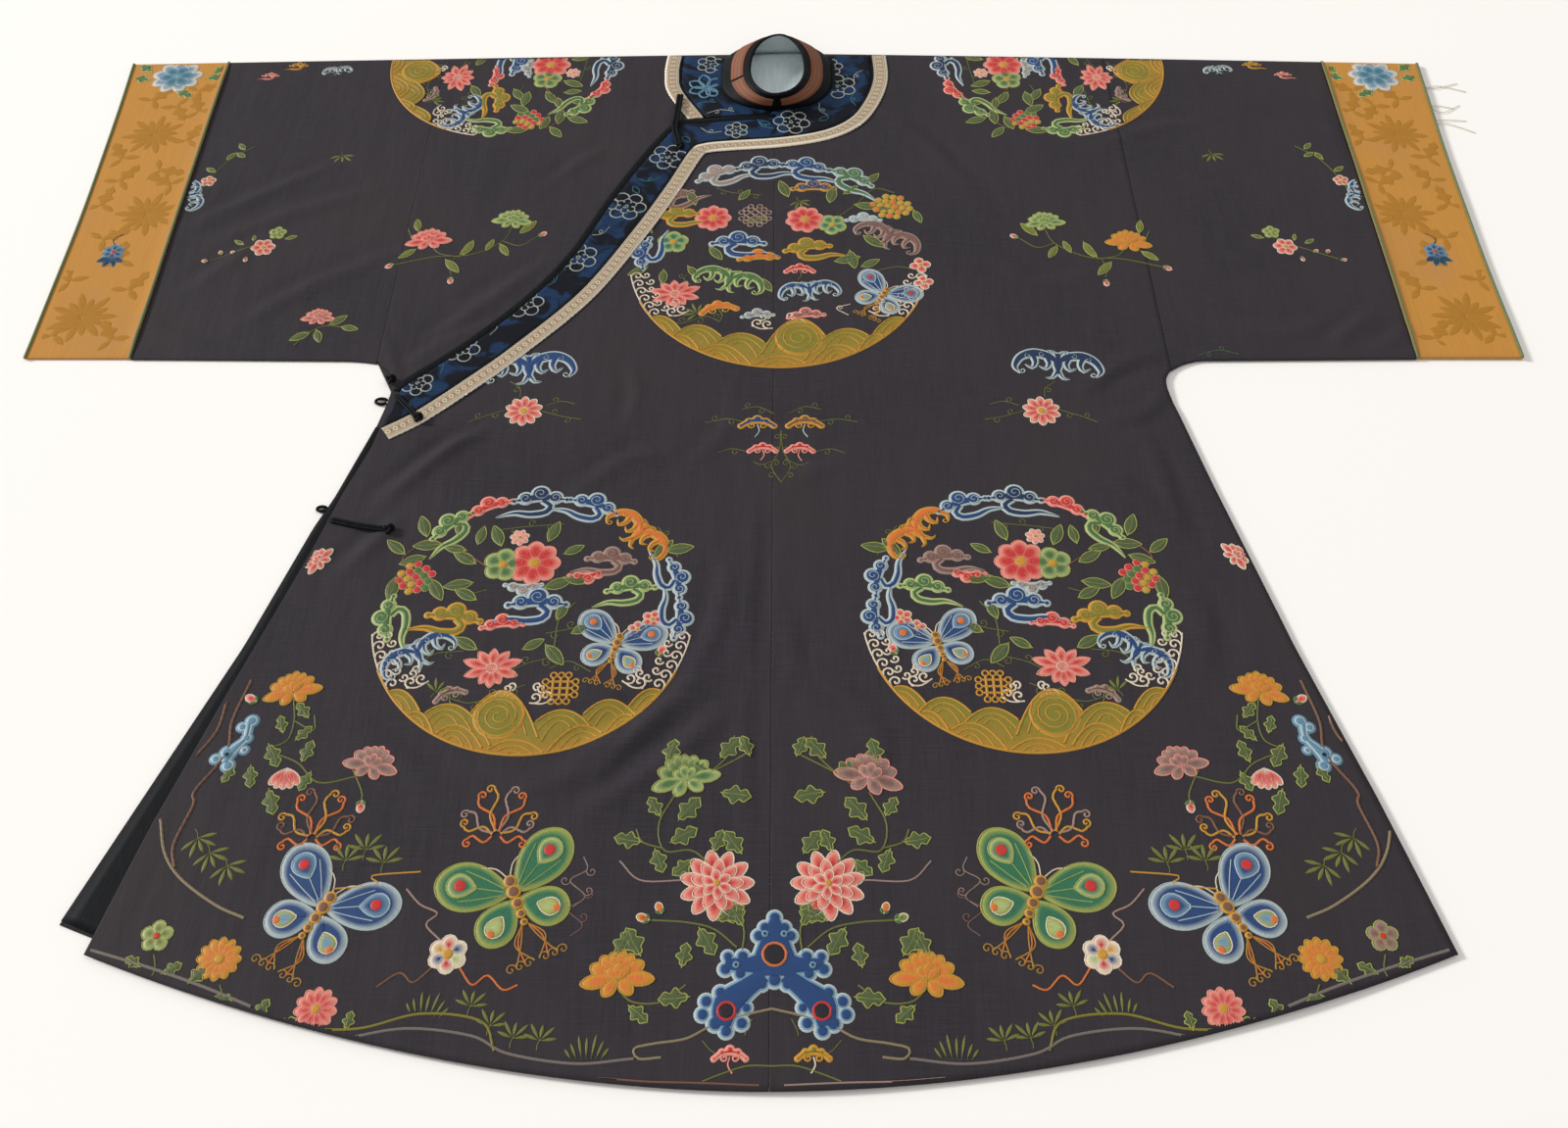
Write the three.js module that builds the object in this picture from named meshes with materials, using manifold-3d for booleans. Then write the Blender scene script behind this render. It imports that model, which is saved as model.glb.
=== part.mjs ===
// An embroidered silk robe laid flat on its back, front up, as one wall of cloth over another.
// Millimetres. While it is being made, x = 0 is the centre seam and y = 0 the middle of the front hem.
// The wearer's left is at +X. At the end the whole robe is centred on the origin.
import * as THREE from "three";
import { mergeVertices } from "three/addons/utils/BufferGeometryUtils.js";
import Module from "manifold-3d";

const wasm = await Module();
wasm.setup();

// Driving sizes
const LENGTH = 1374; // shoulder fold to the middle of the hem
const WALL = 1.2; // a lined silk panel
const GAP = 0.3; // between pieces at a seam and between layers
const LAYER = WALL + GAP;
const BAND = 1.0; // the satin yoke and the woven ribbons
const BINDING = 1.6; // folded black satin
const BINDING_WIDE = 9;
const TRIM_WIDE = 20.5; // the cream ribbon
const HEM = { half: 583, rise: 112, power: 1.9, backLift: 12 };
const SLEEVE_SEAM = 450; // from the centre to the seam between body and sleeve
const SLEEVE_FOOT = 799; // the underarm fold of the sleeve
const UNDERARM_CURVE = 40; // along the sleeve
const CUFF = { topIn: 746, footIn: 731.5, topOut: 877, footOut: 853, foot: 803, hollow: 5 };
const SHOULDER = { drop: 23, power: 1.2 }; // from the neck to the end of the cuff
const NECK = { y: 1309, halfX: 62, halfY: 56 };
const FACING = { top: 700, foot: 146, wideTop: 8, wideFoot: 50 };

// Seams and edges down the two sides, each table from the armpit to the hem
const SIDE_LEFT = [
  { y: 752, x: 440 },
  { y: 613, x: 468 },
  { y: 419, x: 510 },
  { y: 261, x: 550 },
  { y: 112, x: 584 },
];
const OVERLAP_SIDE = [
  { y: 746, x: 426 },
  { y: 699, x: 429 },
  { y: 670, x: 434 },
  { y: 605, x: 454 },
  { y: 534, x: 471 },
  { y: 418, x: 504 },
  { y: 233, x: 555 },
  { y: 112, x: 582 },
];
const BACK_RIGHT = [
  { y: 746, x: 427 },
  { y: 701, x: 435 },
  { y: 650, x: 449 },
  { y: 602, x: 462 },
  { y: 564, x: 476 },
  { y: 419, x: 516 },
  { y: 139, x: 612 },
];
// The two halves: the side of the centre they lie on, the armpit and how far the sleeve's
// underarm fold drops on its way to the body
const LEFT = { way: 1, armpit: { x: 440, y: 752 }, drop: 15, side: SIDE_LEFT };
const RIGHT = { way: -1, armpit: { x: 426, y: 746 }, drop: 4, side: BACK_RIGHT };

// The slanting edge of the overlap, from the front of the collar to the armpit
const SLANT = [
  { x: 0, y: 1240 },
  { x: -92, y: 1230 },
  { x: -127, y: 1225 },
  { x: -158, y: 1180 },
  { x: -206, y: 1079 },
  { x: -247, y: 976 },
  { x: -291, y: 902 },
  { x: -351, y: 829 },
  { x: -415, y: 767 },
  { x: -426, y: 750 },
];
// The outer edge of the satin band, where the cream ribbon starts
const BAND_EDGE = [
  { x: 131, y: 1366 },
  { x: 132, y: 1322 },
  { x: 126, y: 1289 },
  { x: 112, y: 1253 },
  { x: 97, y: 1230 },
  { x: 74, y: 1212 },
  { x: 45, y: 1200 },
  { x: 0, y: 1191 },
  { x: -55, y: 1186 },
  { x: -93, y: 1180 },
  { x: -110, y: 1165 },
  { x: -138, y: 1095 },
  { x: -175, y: 1012 },
  { x: -228, y: 910 },
  { x: -297, y: 822 },
  { x: -347, y: 768 },
  { x: -396, y: 720 },
  { x: -428, y: 697 },
];
// The same edge on the right shoulder, down to where the overlap covers it
const SHOULDER_BAND_EDGE = [
  { x: -127, y: 1366 },
  { x: -129, y: 1344 },
  { x: -129, y: 1324 },
  { x: -124, y: 1292 },
  { x: -93, y: 1234 },
];
// Soft ridges in the front: the ends of each ridge line, its half width and its height
const FOLDS = [
  { x0: -720, y0: 990, x1: -590, y1: 1140, half: 34, high: 3.5 },
  { x0: -640, y0: 880, x1: -520, y1: 990, half: 30, high: 2.5 },
  { x0: -355, y0: 590, x1: -280, y1: 670, half: 38, high: 4 },
  { x0: -165, y0: 243, x1: -40, y1: 344, half: 42, high: 4 },
  { x0: -330, y0: 200, x1: -260, y1: 420, half: 40, high: 2.5 },
  { x0: 258, y0: 1060, x1: 420, y1: 1200, half: 36, high: 3 },
  { x0: 300, y0: 690, x1: 390, y1: 760, half: 34, high: 3.5 },
  { x0: 440, y0: 470, x1: 400, y1: 640, half: 34, high: 3 },
  { x0: 200, y0: 180, x1: 240, y1: 360, half: 40, high: 3 },
  { x0: 560, y0: 900, x1: 640, y1: 1060, half: 32, high: 3 },
];

const cloth = (color, roughness) =>
  new THREE.MeshStandardMaterial({ color, roughness, metalness: 0 });
const SILK = cloth("#38333a", 0.62);
const DAMASK = cloth("#cf9a50", 0.5);
const BLACK_SATIN = cloth("#14161a", 0.45);
const BLUE_SATIN = cloth("#1f3558", 0.5);
const CREAM_RIBBON = cloth("#e8dccb", 0.8);
const RUST_RIBBON = cloth("#a8583c", 0.8);
const GREEN_SILK = cloth("#3b5a3c", 0.6);
const PALE_LINING = cloth("#a9b3b3", 0.6);

const robe = new THREE.Group();

function add(name, geometry, material) {
  const mesh = new THREE.Mesh(geometry, material);
  mesh.name = name;
  robe.add(mesh);
}

// ---- outlines ----

// x at a height y, from a table that runs downwards
function alongSide(table, y) {
  const last = table.length - 1;
  const next = table.findIndex((row) => row.y <= y);
  if (next === 0) return table[0].x;
  if (next < 0) return table[last].x;
  const a = table[next - 1];
  const b = table[next];
  return THREE.MathUtils.mapLinear(y, a.y, b.y, a.x, b.x);
}

// A point at a share of the way along a table's points
function alongLine(table, share) {
  const place = Math.min(share, 1) * (table.length - 1);
  const from = Math.min(Math.floor(place), table.length - 2);
  const a = new THREE.Vector2(table[from].x, table[from].y);
  const b = new THREE.Vector2(table[from + 1].x, table[from + 1].y);
  return a.lerp(b, place - from);
}

const hemAt = (x) => HEM.rise * Math.pow(Math.abs(x) / HEM.half, HEM.power);
const backHemAt = (x) => hemAt(x) + HEM.backLift;
const shoulderAt = (x) => LENGTH - SHOULDER.drop * Math.pow(x / CUFF.topOut, SHOULDER.power);
const facingWide = (y) =>
  THREE.MathUtils.mapLinear(y, FACING.top, FACING.foot, FACING.wideTop, FACING.wideFoot);

// The underarm fold of a half's sleeve at a distance from the centre
function sleeveFootAt(half, x) {
  const inside = Math.max(0, SLEEVE_SEAM + UNDERARM_CURVE - x) / UNDERARM_CURVE;
  const toCuff = Math.max(0, x - SLEEVE_SEAM) / (CUFF.footOut - SLEEVE_SEAM);
  return SLEEVE_FOOT + (CUFF.foot - SLEEVE_FOOT) * toCuff - half.drop * inside * inside;
}

// The outer edge of a half at a height: side edge, underarm curve, then the sleeve's seam
function halfEdgeAt(half, y) {
  const seamFoot = sleeveFootAt(half, SLEEVE_SEAM);
  if (y >= seamFoot) return SLEEVE_SEAM;
  if (y <= half.armpit.y) return alongSide(half.side, y);
  const up = (y - half.armpit.y) / (seamFoot - half.armpit.y);
  return half.armpit.x + (SLEEVE_SEAM - half.armpit.x) * Math.pow(up, 4);
}

// Heights at which a half's rows lie closer, through the underarm curve
function underarmRows(half) {
  const seamFoot = sleeveFootAt(half, SLEEVE_SEAM);
  return [0, 0.35, 0.6, 0.8, 0.92, 1].map((up) => THREE.MathUtils.lerp(half.armpit.y, seamFoot, up));
}

// How high the soft ridges stand over the layer below at a point
function foldAt(x, y) {
  let high = 0;
  for (const fold of FOLDS) {
    const line = new THREE.Vector2(fold.x1 - fold.x0, fold.y1 - fold.y0);
    const from = new THREE.Vector2(x - fold.x0, y - fold.y0);
    const share = THREE.MathUtils.clamp(from.dot(line) / line.lengthSq(), 0, 1);
    const off = from.sub(line.multiplyScalar(share)).length() / fold.half;
    if (off < 1) high = Math.max(high, fold.high * Math.pow(Math.cos((off * Math.PI) / 2), 2));
  }
  return high;
}

// ---- walls ----

function volumeOf(positions, index) {
  let six = 0;
  const corner = (i) => new THREE.Vector3().fromArray(positions, 3 * index[i]);
  for (let i = 0; i < index.length; i += 3) {
    six += corner(i).dot(corner(i + 1).cross(corner(i + 2)));
  }
  return six / 6;
}

// A closed wall between two grids of points, rows[i][j]. A ring joins its last row to its first.
function wallBetween(outer, inner, ring = false) {
  const rows = outer.length;
  const columns = outer[0].length;
  const positions = [...outer.flat(), ...inner.flat()].flatMap((p) => [p.x, p.y, p.z]);
  const index = [];
  const at = (side, i, j) => side * rows * columns + (i % rows) * columns + j;
  const quad = (a, b, c, d) => index.push(a, b, c, a, c, d);
  const steps = ring ? rows : rows - 1;
  for (let i = 0; i < steps; i++) {
    for (let j = 0; j < columns - 1; j++) {
      quad(at(0, i, j), at(0, i, j + 1), at(0, i + 1, j + 1), at(0, i + 1, j));
      quad(at(1, i, j), at(1, i + 1, j), at(1, i + 1, j + 1), at(1, i, j + 1));
    }
    quad(at(0, i, 0), at(0, i + 1, 0), at(1, i + 1, 0), at(1, i, 0));
    const j = columns - 1;
    quad(at(0, i + 1, j), at(0, i, j), at(1, i, j), at(1, i + 1, j));
  }
  if (!ring) {
    const i = rows - 1;
    for (let j = 0; j < columns - 1; j++) {
      quad(at(0, 0, j + 1), at(0, 0, j), at(1, 0, j), at(1, 0, j + 1));
      quad(at(0, i, j), at(0, i, j + 1), at(1, i, j + 1), at(1, i, j));
    }
  }
  if (volumeOf(positions, index) < 0) index.reverse();
  const geometry = new THREE.BufferGeometry();
  geometry.setAttribute("position", new THREE.Float32BufferAttribute(positions, 3));
  geometry.setIndex(index);
  geometry.computeVertexNormals();
  return geometry;
}

const point = (flat, z) => new THREE.Vector3(flat.x, flat.y, z);
const shares = (count) => Array.from({ length: count + 1 }, (_, i) => i / count);

// A flat panel between a foot line and a head line, and between a centre edge and a side edge.
// Each line is a function of a share from 0 to 1, and neighbouring lines meet at their ends.
function panel({ foot, head, centre, side }) {
  return (u, v) => {
    const across = foot(u).multiplyScalar(1 - v).add(head(u).multiplyScalar(v));
    const up = centre(v).multiplyScalar(1 - u).add(side(v).multiplyScalar(u));
    const corners = foot(0).multiplyScalar((1 - u) * (1 - v));
    corners.add(foot(1).multiplyScalar(u * (1 - v)));
    corners.add(head(0).multiplyScalar((1 - u) * v));
    corners.add(head(1).multiplyScalar(u * v));
    return across.add(up).sub(corners);
  };
}

// Shares up a panel's side at which its rows lie, closer where the underarm curves
function rowsUp(low, high, step, close = []) {
  const count = Math.round((high - low) / step);
  const even = shares(count).map((share) => low + share * (high - low));
  const clear = even.filter((y) => close.every((c) => Math.abs(c - y) > step / 3) || y === low || y === high);
  return [...clear, ...close].sort((a, b) => a - b).map((y) => (y - low) / (high - low));
}

// A front and a back in one length, folded over at the shoulder. front and back are panels and
// level is the height of the front's underside over the floor.
function foldedWall({ front, back, frontRows, backRows, columns, level, folds }) {
  const outer = [];
  const inner = [];
  const hollow = (level - WALL) / 2;
  const round = hollow + WALL;
  for (const v of frontRows) {
    const flat = columns.map((u) => front(u, v));
    const lift = flat.map((p) => (folds ? foldAt(p.x, p.y) : 0));
    outer.push(flat.map((p, j) => point(p, level + WALL + lift[j])));
    inner.push(flat.map((p, j) => point(p, level + lift[j])));
  }
  for (const turn of [0.25, 0.5, 0.75]) {
    const ends = columns.map((u) => front(u, 1));
    const about = (radius) => (p) =>
      new THREE.Vector3(
        p.x,
        p.y + radius * Math.sin(turn * Math.PI),
        round + radius * Math.cos(turn * Math.PI),
      );
    outer.push(ends.map(about(round)));
    inner.push(ends.map(about(hollow)));
  }
  for (const v of [...backRows].reverse()) {
    const flat = columns.map((u) => back(u, v));
    outer.push(flat.map((p) => point(p, 0)));
    inner.push(flat.map((p) => point(p, WALL)));
  }
  return wallBetween(outer, inner);
}

// A sleeve or cuff: a flat tube along x. edge(u, up) gives x at a share up from the lower fold, and
// foot and top give the two folds. way is 0 for no ridges, or the side on which they lie.
function flatTube({ edge, foot, top, around, along, level, way }) {
  const outer = [];
  const inner = [];
  const half = (level + WALL) / 2;
  const layer = (up, z, lifted) =>
    shares(along).map((u) => {
      const x = edge(u, up);
      const y = THREE.MathUtils.lerp(foot(x) + half, top(x) - half, up);
      return new THREE.Vector3(x, y, z + (lifted && way ? foldAt(way * x, y) : 0));
    });
  const bend = (up, radius, turn) =>
    shares(along).map((u) => {
      const x = edge(u, up);
      const y = up ? top(x) - half : foot(x) + half;
      return new THREE.Vector3(x, y + radius * Math.sin(turn), half - radius * Math.cos(turn));
    });
  const bendBoth = (up, turns) => {
    for (const turn of turns) {
      outer.push(bend(up, half, turn * Math.PI));
      inner.push(bend(up, half - WALL, turn * Math.PI));
    }
  };
  for (const up of shares(around)) {
    outer.push(layer(up, level + WALL, true));
    inner.push(layer(up, level, true));
  }
  bendBoth(1, [0.75, 0.5, 0.25]);
  for (const up of shares(around / 2).reverse()) {
    outer.push(layer(up, 0, false));
    inner.push(layer(up, WALL, false));
  }
  bendBoth(0, [-0.25, -0.5, -0.75]);
  return wallBetween(outer, inner, true);
}

// A flat piece cut to an outline of points and laid with its underside at z
function plate(outline, z, thick) {
  const shape = new THREE.Shape(outline.map((p) => new THREE.Vector2(p.x, p.y)));
  const geometry = new THREE.ExtrudeGeometry(shape, { depth: thick, bevelEnabled: false });
  return geometry.translate(0, 0, z);
}

// ---- cutting ----

function solidOf(geometry) {
  const bare = geometry.clone();
  bare.deleteAttribute("normal");
  bare.deleteAttribute("uv");
  const merged = mergeVertices(bare, 1e-4);
  const mesh = new wasm.Mesh({
    numProp: 3,
    vertProperties: merged.attributes.position.array,
    triVerts: new Uint32Array(merged.index.array),
  });
  return new wasm.Manifold(mesh);
}

function geometryOf(solid) {
  const mesh = solid.getMesh();
  const geometry = new THREE.BufferGeometry();
  geometry.setAttribute("position", new THREE.BufferAttribute(mesh.vertProperties, 3));
  geometry.setIndex(new THREE.BufferAttribute(mesh.triVerts, 1));
  geometry.computeVertexNormals();
  return geometry;
}

// The neck hole goes through the front and leaves the back whole.
function cutNeck(geometry) {
  const shape = new THREE.Shape();
  shape.absellipse(0, NECK.y, NECK.halfX, NECK.halfY, 0, 2 * Math.PI);
  const cutter = new THREE.ExtrudeGeometry(shape, { depth: 20, bevelEnabled: false, curveSegments: 12 });
  cutter.translate(0, 0, WALL + GAP / 2);
  return geometryOf(solidOf(geometry).subtract(solidOf(cutter)));
}

// ---- body ----

const LEFT_LEVEL = 2 * LAYER; // the left front lies as high as the overlap it is sewn to
const RIGHT_LEVEL = LAYER;
const TOP_OF_OVERLAP = LEFT_LEVEL + WALL;
const TOP_OF_RIGHT = RIGHT_LEVEL + WALL;
const COLUMNS = 13;

// One layer of a half of the body. The centre edge stays GAP / 2 from the seam.
function bodyPanel({ way, footAt, edgeAt, low, fold }) {
  const high = shoulderAt(SLEEVE_SEAM) - fold;
  const seamX = GAP / 2;
  const across = (u, wide) => seamX + u * (wide - seamX);
  const clear = (y) => edgeAt(y) - GAP / 2;
  const lowX = clear(low);
  const cornerLift = low - footAt(lowX);
  return panel({
    foot: (u) => new THREE.Vector2(way * across(u, lowX), footAt(u * lowX) + u * cornerLift),
    head: (u) => new THREE.Vector2(way * across(u, clear(high)), shoulderAt(across(u, SLEEVE_SEAM)) - fold),
    centre: (v) => new THREE.Vector2(way * seamX, THREE.MathUtils.lerp(footAt(0), LENGTH - fold, v)),
    side: (v) => {
      const y = THREE.MathUtils.lerp(low, high, v);
      return new THREE.Vector2(way * clear(y), y);
    },
  });
}

function bodyLeft() {
  const fold = (LEFT_LEVEL + WALL) / 2;
  const low = HEM.rise;
  const backLow = low + HEM.backLift;
  const high = shoulderAt(SLEEVE_SEAM) - fold;
  const edges = { way: LEFT.way, edgeAt: (y) => halfEdgeAt(LEFT, y), fold };
  const wall = foldedWall({
    front: bodyPanel({ ...edges, footAt: hemAt, low }),
    back: bodyPanel({ ...edges, footAt: backHemAt, low: backLow }),
    frontRows: rowsUp(low, high, 46, underarmRows(LEFT)),
    backRows: rowsUp(backLow, high, 130, underarmRows(LEFT)),
    columns: shares(COLUMNS),
    level: LEFT_LEVEL,
    folds: true,
  });
  add("body_left", cutNeck(wall), SILK);
}

// Below the armpit the underlap stops short of the facing on the back's edge.
function underlapEdge(y) {
  const short = THREE.MathUtils.smoothstep(RIGHT.armpit.y - y, 0, RIGHT.armpit.y - FACING.top - 4);
  return halfEdgeAt(RIGHT, y) - short * (facingWide(y) + 2);
}

function bodyRight() {
  const fold = (RIGHT_LEVEL + WALL) / 2;
  const low = 165;
  const backLow = BACK_RIGHT[BACK_RIGHT.length - 1].y;
  const high = shoulderAt(SLEEVE_SEAM) - fold;
  const edges = { way: RIGHT.way, fold };
  const closeFront = [FACING.top - 10, FACING.top + 4, FACING.top + 18, FACING.top + 32];
  const closeBack = BACK_RIGHT.slice(1, -1).map((row) => row.y);
  const wall = foldedWall({
    front: bodyPanel({ ...edges, edgeAt: underlapEdge, footAt: (x) => hemAt(x) + 60, low }),
    back: bodyPanel({ ...edges, edgeAt: (y) => halfEdgeAt(RIGHT, y), footAt: backHemAt, low: backLow }),
    frontRows: rowsUp(low, high, 60, [...closeFront, ...underarmRows(RIGHT)]),
    backRows: rowsUp(backLow, high, 130, [...closeBack, ...underarmRows(RIGHT)]),
    columns: shares(COLUMNS),
    level: RIGHT_LEVEL,
    folds: false,
  });
  add("body_right", cutNeck(wall), SILK);
}

function overlapFront() {
  const seamX = -GAP / 2;
  const low = HEM.rise;
  const corner = alongSide(OVERLAP_SIDE, low);
  const top = SLANT[SLANT.length - 1];
  const flat = panel({
    foot: (u) => new THREE.Vector2(seamX - u * (corner + seamX), hemAt(u * HEM.half)),
    head: (u) => alongLine(SLANT, u).add(new THREE.Vector2(seamX * (1 - u), 0)),
    centre: (v) => new THREE.Vector2(seamX, v * SLANT[0].y),
    side: (v) => {
      const y = THREE.MathUtils.lerp(low, top.y, v);
      return new THREE.Vector2(-alongSide(OVERLAP_SIDE, y), y);
    },
  });
  const bends = OVERLAP_SIDE.slice(1, -1).map((row) => row.y);
  const rows = rowsUp(low, top.y, 36, bends);
  const grid = (z) =>
    rows.map((v) =>
      shares(2 * SLANT.length - 2).map((u) => {
        const p = flat(u, v);
        return point(p, z + foldAt(p.x, p.y));
      }),
    );
  add("overlap_front", wallBetween(grid(LEFT_LEVEL + WALL), grid(LEFT_LEVEL)), SILK);
}

// ---- sleeves and cuffs ----

function sleeve(name, half, level) {
  const way = half.way;
  const outEdge = (up) => THREE.MathUtils.lerp(CUFF.footIn, CUFF.topIn, up) - GAP;
  const geometry = flatTube({
    edge: (u, up) => THREE.MathUtils.lerp(SLEEVE_SEAM + GAP / 2, outEdge(up), u),
    foot: (x) => sleeveFootAt(half, x),
    top: shoulderAt,
    around: 14,
    along: 9,
    level,
    way,
  });
  if (way < 0) mirror(geometry);
  add(name, geometry, SILK);
}

// Turned over across x = 0, with the faces turned back to point out
function mirror(geometry) {
  geometry.scale(-1, 1, 1);
  const turned = Array.from(geometry.index.array).reverse();
  geometry.setIndex(turned);
  geometry.computeVertexNormals();
}

const PIPING = 3;

// The narrow piping on one long edge of a cuff, inset from the edge of the damask
function cuffPiping(name, way, level, { top, foot, hollow, inset }) {
  const clear = 4;
  const edge = shares(8).map((up) => ({
    x: THREE.MathUtils.lerp(foot, top, up) - hollow * Math.sin(up * Math.PI) + inset,
    y: THREE.MathUtils.lerp(CUFF.foot + clear, shoulderAt(top) - clear, up),
  }));
  const near = edge.map((p) => ({ x: way * p.x, y: p.y }));
  const far = edge.map((p) => ({ x: way * (p.x + PIPING), y: p.y })).reverse();
  add(name, plate([...near, ...far], level + LAYER, BAND), GREEN_SILK);
}

function cuff(side, way, level) {
  const inEdge = (up) => THREE.MathUtils.lerp(CUFF.footIn, CUFF.topIn, up);
  const hollow = (up) => CUFF.hollow * Math.sin(up * Math.PI);
  const outEdge = (up) => THREE.MathUtils.lerp(CUFF.footOut, CUFF.topOut, up) - hollow(up);
  const geometry = flatTube({
    edge: (u, up) => THREE.MathUtils.lerp(inEdge(up), outEdge(up), u),
    foot: () => CUFF.foot,
    top: shoulderAt,
    around: 8,
    along: 2,
    level,
    way: 0,
  });
  if (way < 0) mirror(geometry);
  add(`cuff_${side}`, geometry, DAMASK);
  const inner = { top: CUFF.topIn, foot: CUFF.footIn, hollow: 0, inset: GAP };
  const outer = { top: CUFF.topOut, foot: CUFF.footOut, hollow: CUFF.hollow, inset: -PIPING - GAP };
  cuffPiping(`cuff_piping_inner_${side}`, way, level, inner);
  cuffPiping(`cuff_piping_outer_${side}`, way, level, outer);
}

// ---- neck bands, ribbon and bindings ----

const COLLAR = {
  base: { x: 2, y: 1311, halfX: 75, halfY: 61.5, frontCorner: 0.9, backCorner: 0.42 },
  rim: { x: 3, y: 1305, halfX: 38, halfY: 61, frontCorner: 1, backCorner: 1 },
  front: 25,
  side: 22,
  back: 32,
  fullBack: 0.35,
  wall: 1.2,
  ribbon: 0.8,
};

// A table's points moved out sideways by a distance, to the left of the way the table runs
function movedOut(table, distance) {
  return table.map((row, i) => {
    const before = table[Math.max(i - 1, 0)];
    const after = table[Math.min(i + 1, table.length - 1)];
    const along = new THREE.Vector2(after.x - before.x, after.y - before.y).normalize();
    return { x: row.x - along.y * distance, y: row.y + along.x * distance };
  });
}

// The edge of the neck hole, from one angle to another in degrees, moved out by a distance
function roundNeck(from, to, out) {
  return shares(14).map((share) => {
    const angle = THREE.MathUtils.degToRad(THREE.MathUtils.lerp(from, to, share));
    return {
      x: (NECK.halfX + out) * Math.cos(angle),
      y: NECK.y + (NECK.halfY + out) * Math.sin(angle),
    };
  });
}

const CLEAR_OF_NECK = 2;
const BINDING_START = { x: -BINDING_WIDE - GAP, y: SLANT[0].y - 1 };
const BINDING_FOOT = { outer: { x: -424, y: 754 }, inner: { x: -422, y: 740 } };

function yokeMain() {
  const neckLine = roundNeck(-89, 62, CLEAR_OF_NECK).filter((p) => p.y < BAND_EDGE[0].y);
  const underBinding = movedOut(SLANT, BINDING_WIDE + GAP).slice(1, -1);
  const cornerAtCollar = { x: BINDING_START.x, y: BINDING_START.y - BINDING_WIDE - 2 * GAP };
  const sideEnd = [
    { x: -424, y: 700 },
    { x: BINDING_FOOT.inner.x, y: BINDING_FOOT.inner.y - 2 },
  ];
  const outline = [
    ...BAND_EDGE.slice(0, -1),
    ...sideEnd,
    ...underBinding.reverse(),
    cornerAtCollar,
    ...neckLine,
  ];
  add("yoke_main", plate(outline, TOP_OF_OVERLAP + GAP, BAND), BLUE_SATIN);
}

function yokeShoulder() {
  const neckLine = roundNeck(118, 262, CLEAR_OF_NECK).filter((p) => p.y < BAND_EDGE[0].y);
  const foot = { x: -20, y: 1240.5 };
  const outer = movedOut(SHOULDER_BAND_EDGE, GAP).reverse();
  add("yoke_shoulder", plate([...neckLine, foot, ...outer], TOP_OF_RIGHT + GAP, BAND), BLUE_SATIN);
}

function trims() {
  const inner = movedOut(BAND_EDGE, GAP);
  const outer = movedOut(BAND_EDGE, GAP + TRIM_WIDE).reverse();
  outer[0] = { x: -431, y: 672 };
  add("trim_main", plate([...inner, ...outer], TOP_OF_OVERLAP + GAP, WALL), CREAM_RIBBON);
  const shoulderInner = movedOut(SHOULDER_BAND_EDGE, -GAP);
  const shoulderOuter = movedOut(SHOULDER_BAND_EDGE, -GAP - TRIM_WIDE).reverse();
  shoulderOuter[0] = { x: -119, y: 1230 };
  const shoulder = [...shoulderInner, ...shoulderOuter];
  add("trim_shoulder", plate(shoulder, TOP_OF_RIGHT + GAP, WALL), CREAM_RIBBON);
}

function overlapBinding() {
  const edge = SLANT.map((row) => ({ ...row }));
  const inner = movedOut(edge, BINDING_WIDE);
  edge[0] = BINDING_START;
  inner[0] = { x: BINDING_START.x, y: BINDING_START.y - BINDING_WIDE };
  edge[edge.length - 1] = BINDING_FOOT.outer;
  inner[inner.length - 1] = BINDING_FOOT.inner;
  add("overlap_binding", plate([...edge, ...inner.reverse()], TOP_OF_OVERLAP + GAP, BINDING), BLACK_SATIN);
}

function sideFacing() {
  const bends = BACK_RIGHT.map((row) => row.y).filter((y) => y < FACING.top && y > FACING.foot);
  const ys = [FACING.top, ...bends, FACING.foot];
  const outer = ys.map((y) => ({ x: GAP - halfEdgeAt(RIGHT, y), y }));
  const inner = ys.map((y) => ({ x: facingWide(y) - halfEdgeAt(RIGHT, y), y }));
  add("side_facing", plate([...outer, ...inner.reverse()], LAYER, WALL), BLACK_SATIN);
}

function neckLining() {
  const outline = shares(32).slice(0, -1).map((share) => ({
    x: (NECK.halfX - 1) * Math.cos(share * 2 * Math.PI),
    y: NECK.y + (NECK.halfY - 1) * Math.sin(share * 2 * Math.PI),
  }));
  add("neck_lining", plate(outline, LAYER, BAND), PALE_LINING);
}

// ---- collar ----

// A point on one of the stand's two edges. A corner of 1 is an ellipse and less is squarer.
function standEdge({ x, y, halfX, halfY, frontCorner, backCorner }, angle) {
  const cos = Math.cos(angle);
  const sin = Math.sin(angle);
  const corner = sin > 0 ? backCorner : frontCorner;
  const across = Math.sign(cos) * Math.pow(Math.abs(cos), corner);
  const along = Math.sign(sin) * Math.pow(Math.abs(sin), corner);
  return new THREE.Vector2(x + halfX * across, y + halfY * along);
}

// The stand's outer face. turn runs from the front all the way round, up from base to rim.
function standAt(turn, up) {
  const angle = turn * 2 * Math.PI - Math.PI / 2;
  const cos = Math.cos(angle);
  const sin = Math.sin(angle);
  const end = sin > 0 ? COLLAR.back : COLLAR.front;
  const high = THREE.MathUtils.lerp(COLLAR.side, end, Math.abs(sin));
  const onOverlap = THREE.MathUtils.smoothstep(cos, -0.3, 0.3);
  const seat = THREE.MathUtils.lerp(TOP_OF_RIGHT, TOP_OF_OVERLAP, onOverlap);
  const base = seat + GAP + BAND + GAP + COLLAR.wall;
  const flat = standEdge(COLLAR.base, angle).lerp(standEdge(COLLAR.rim, angle), up);
  const bulge = 1 - COLLAR.fullBack * sin; // the back swells out and the front is hollow
  return point(flat, base + high * Math.pow(up, bulge));
}

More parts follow.
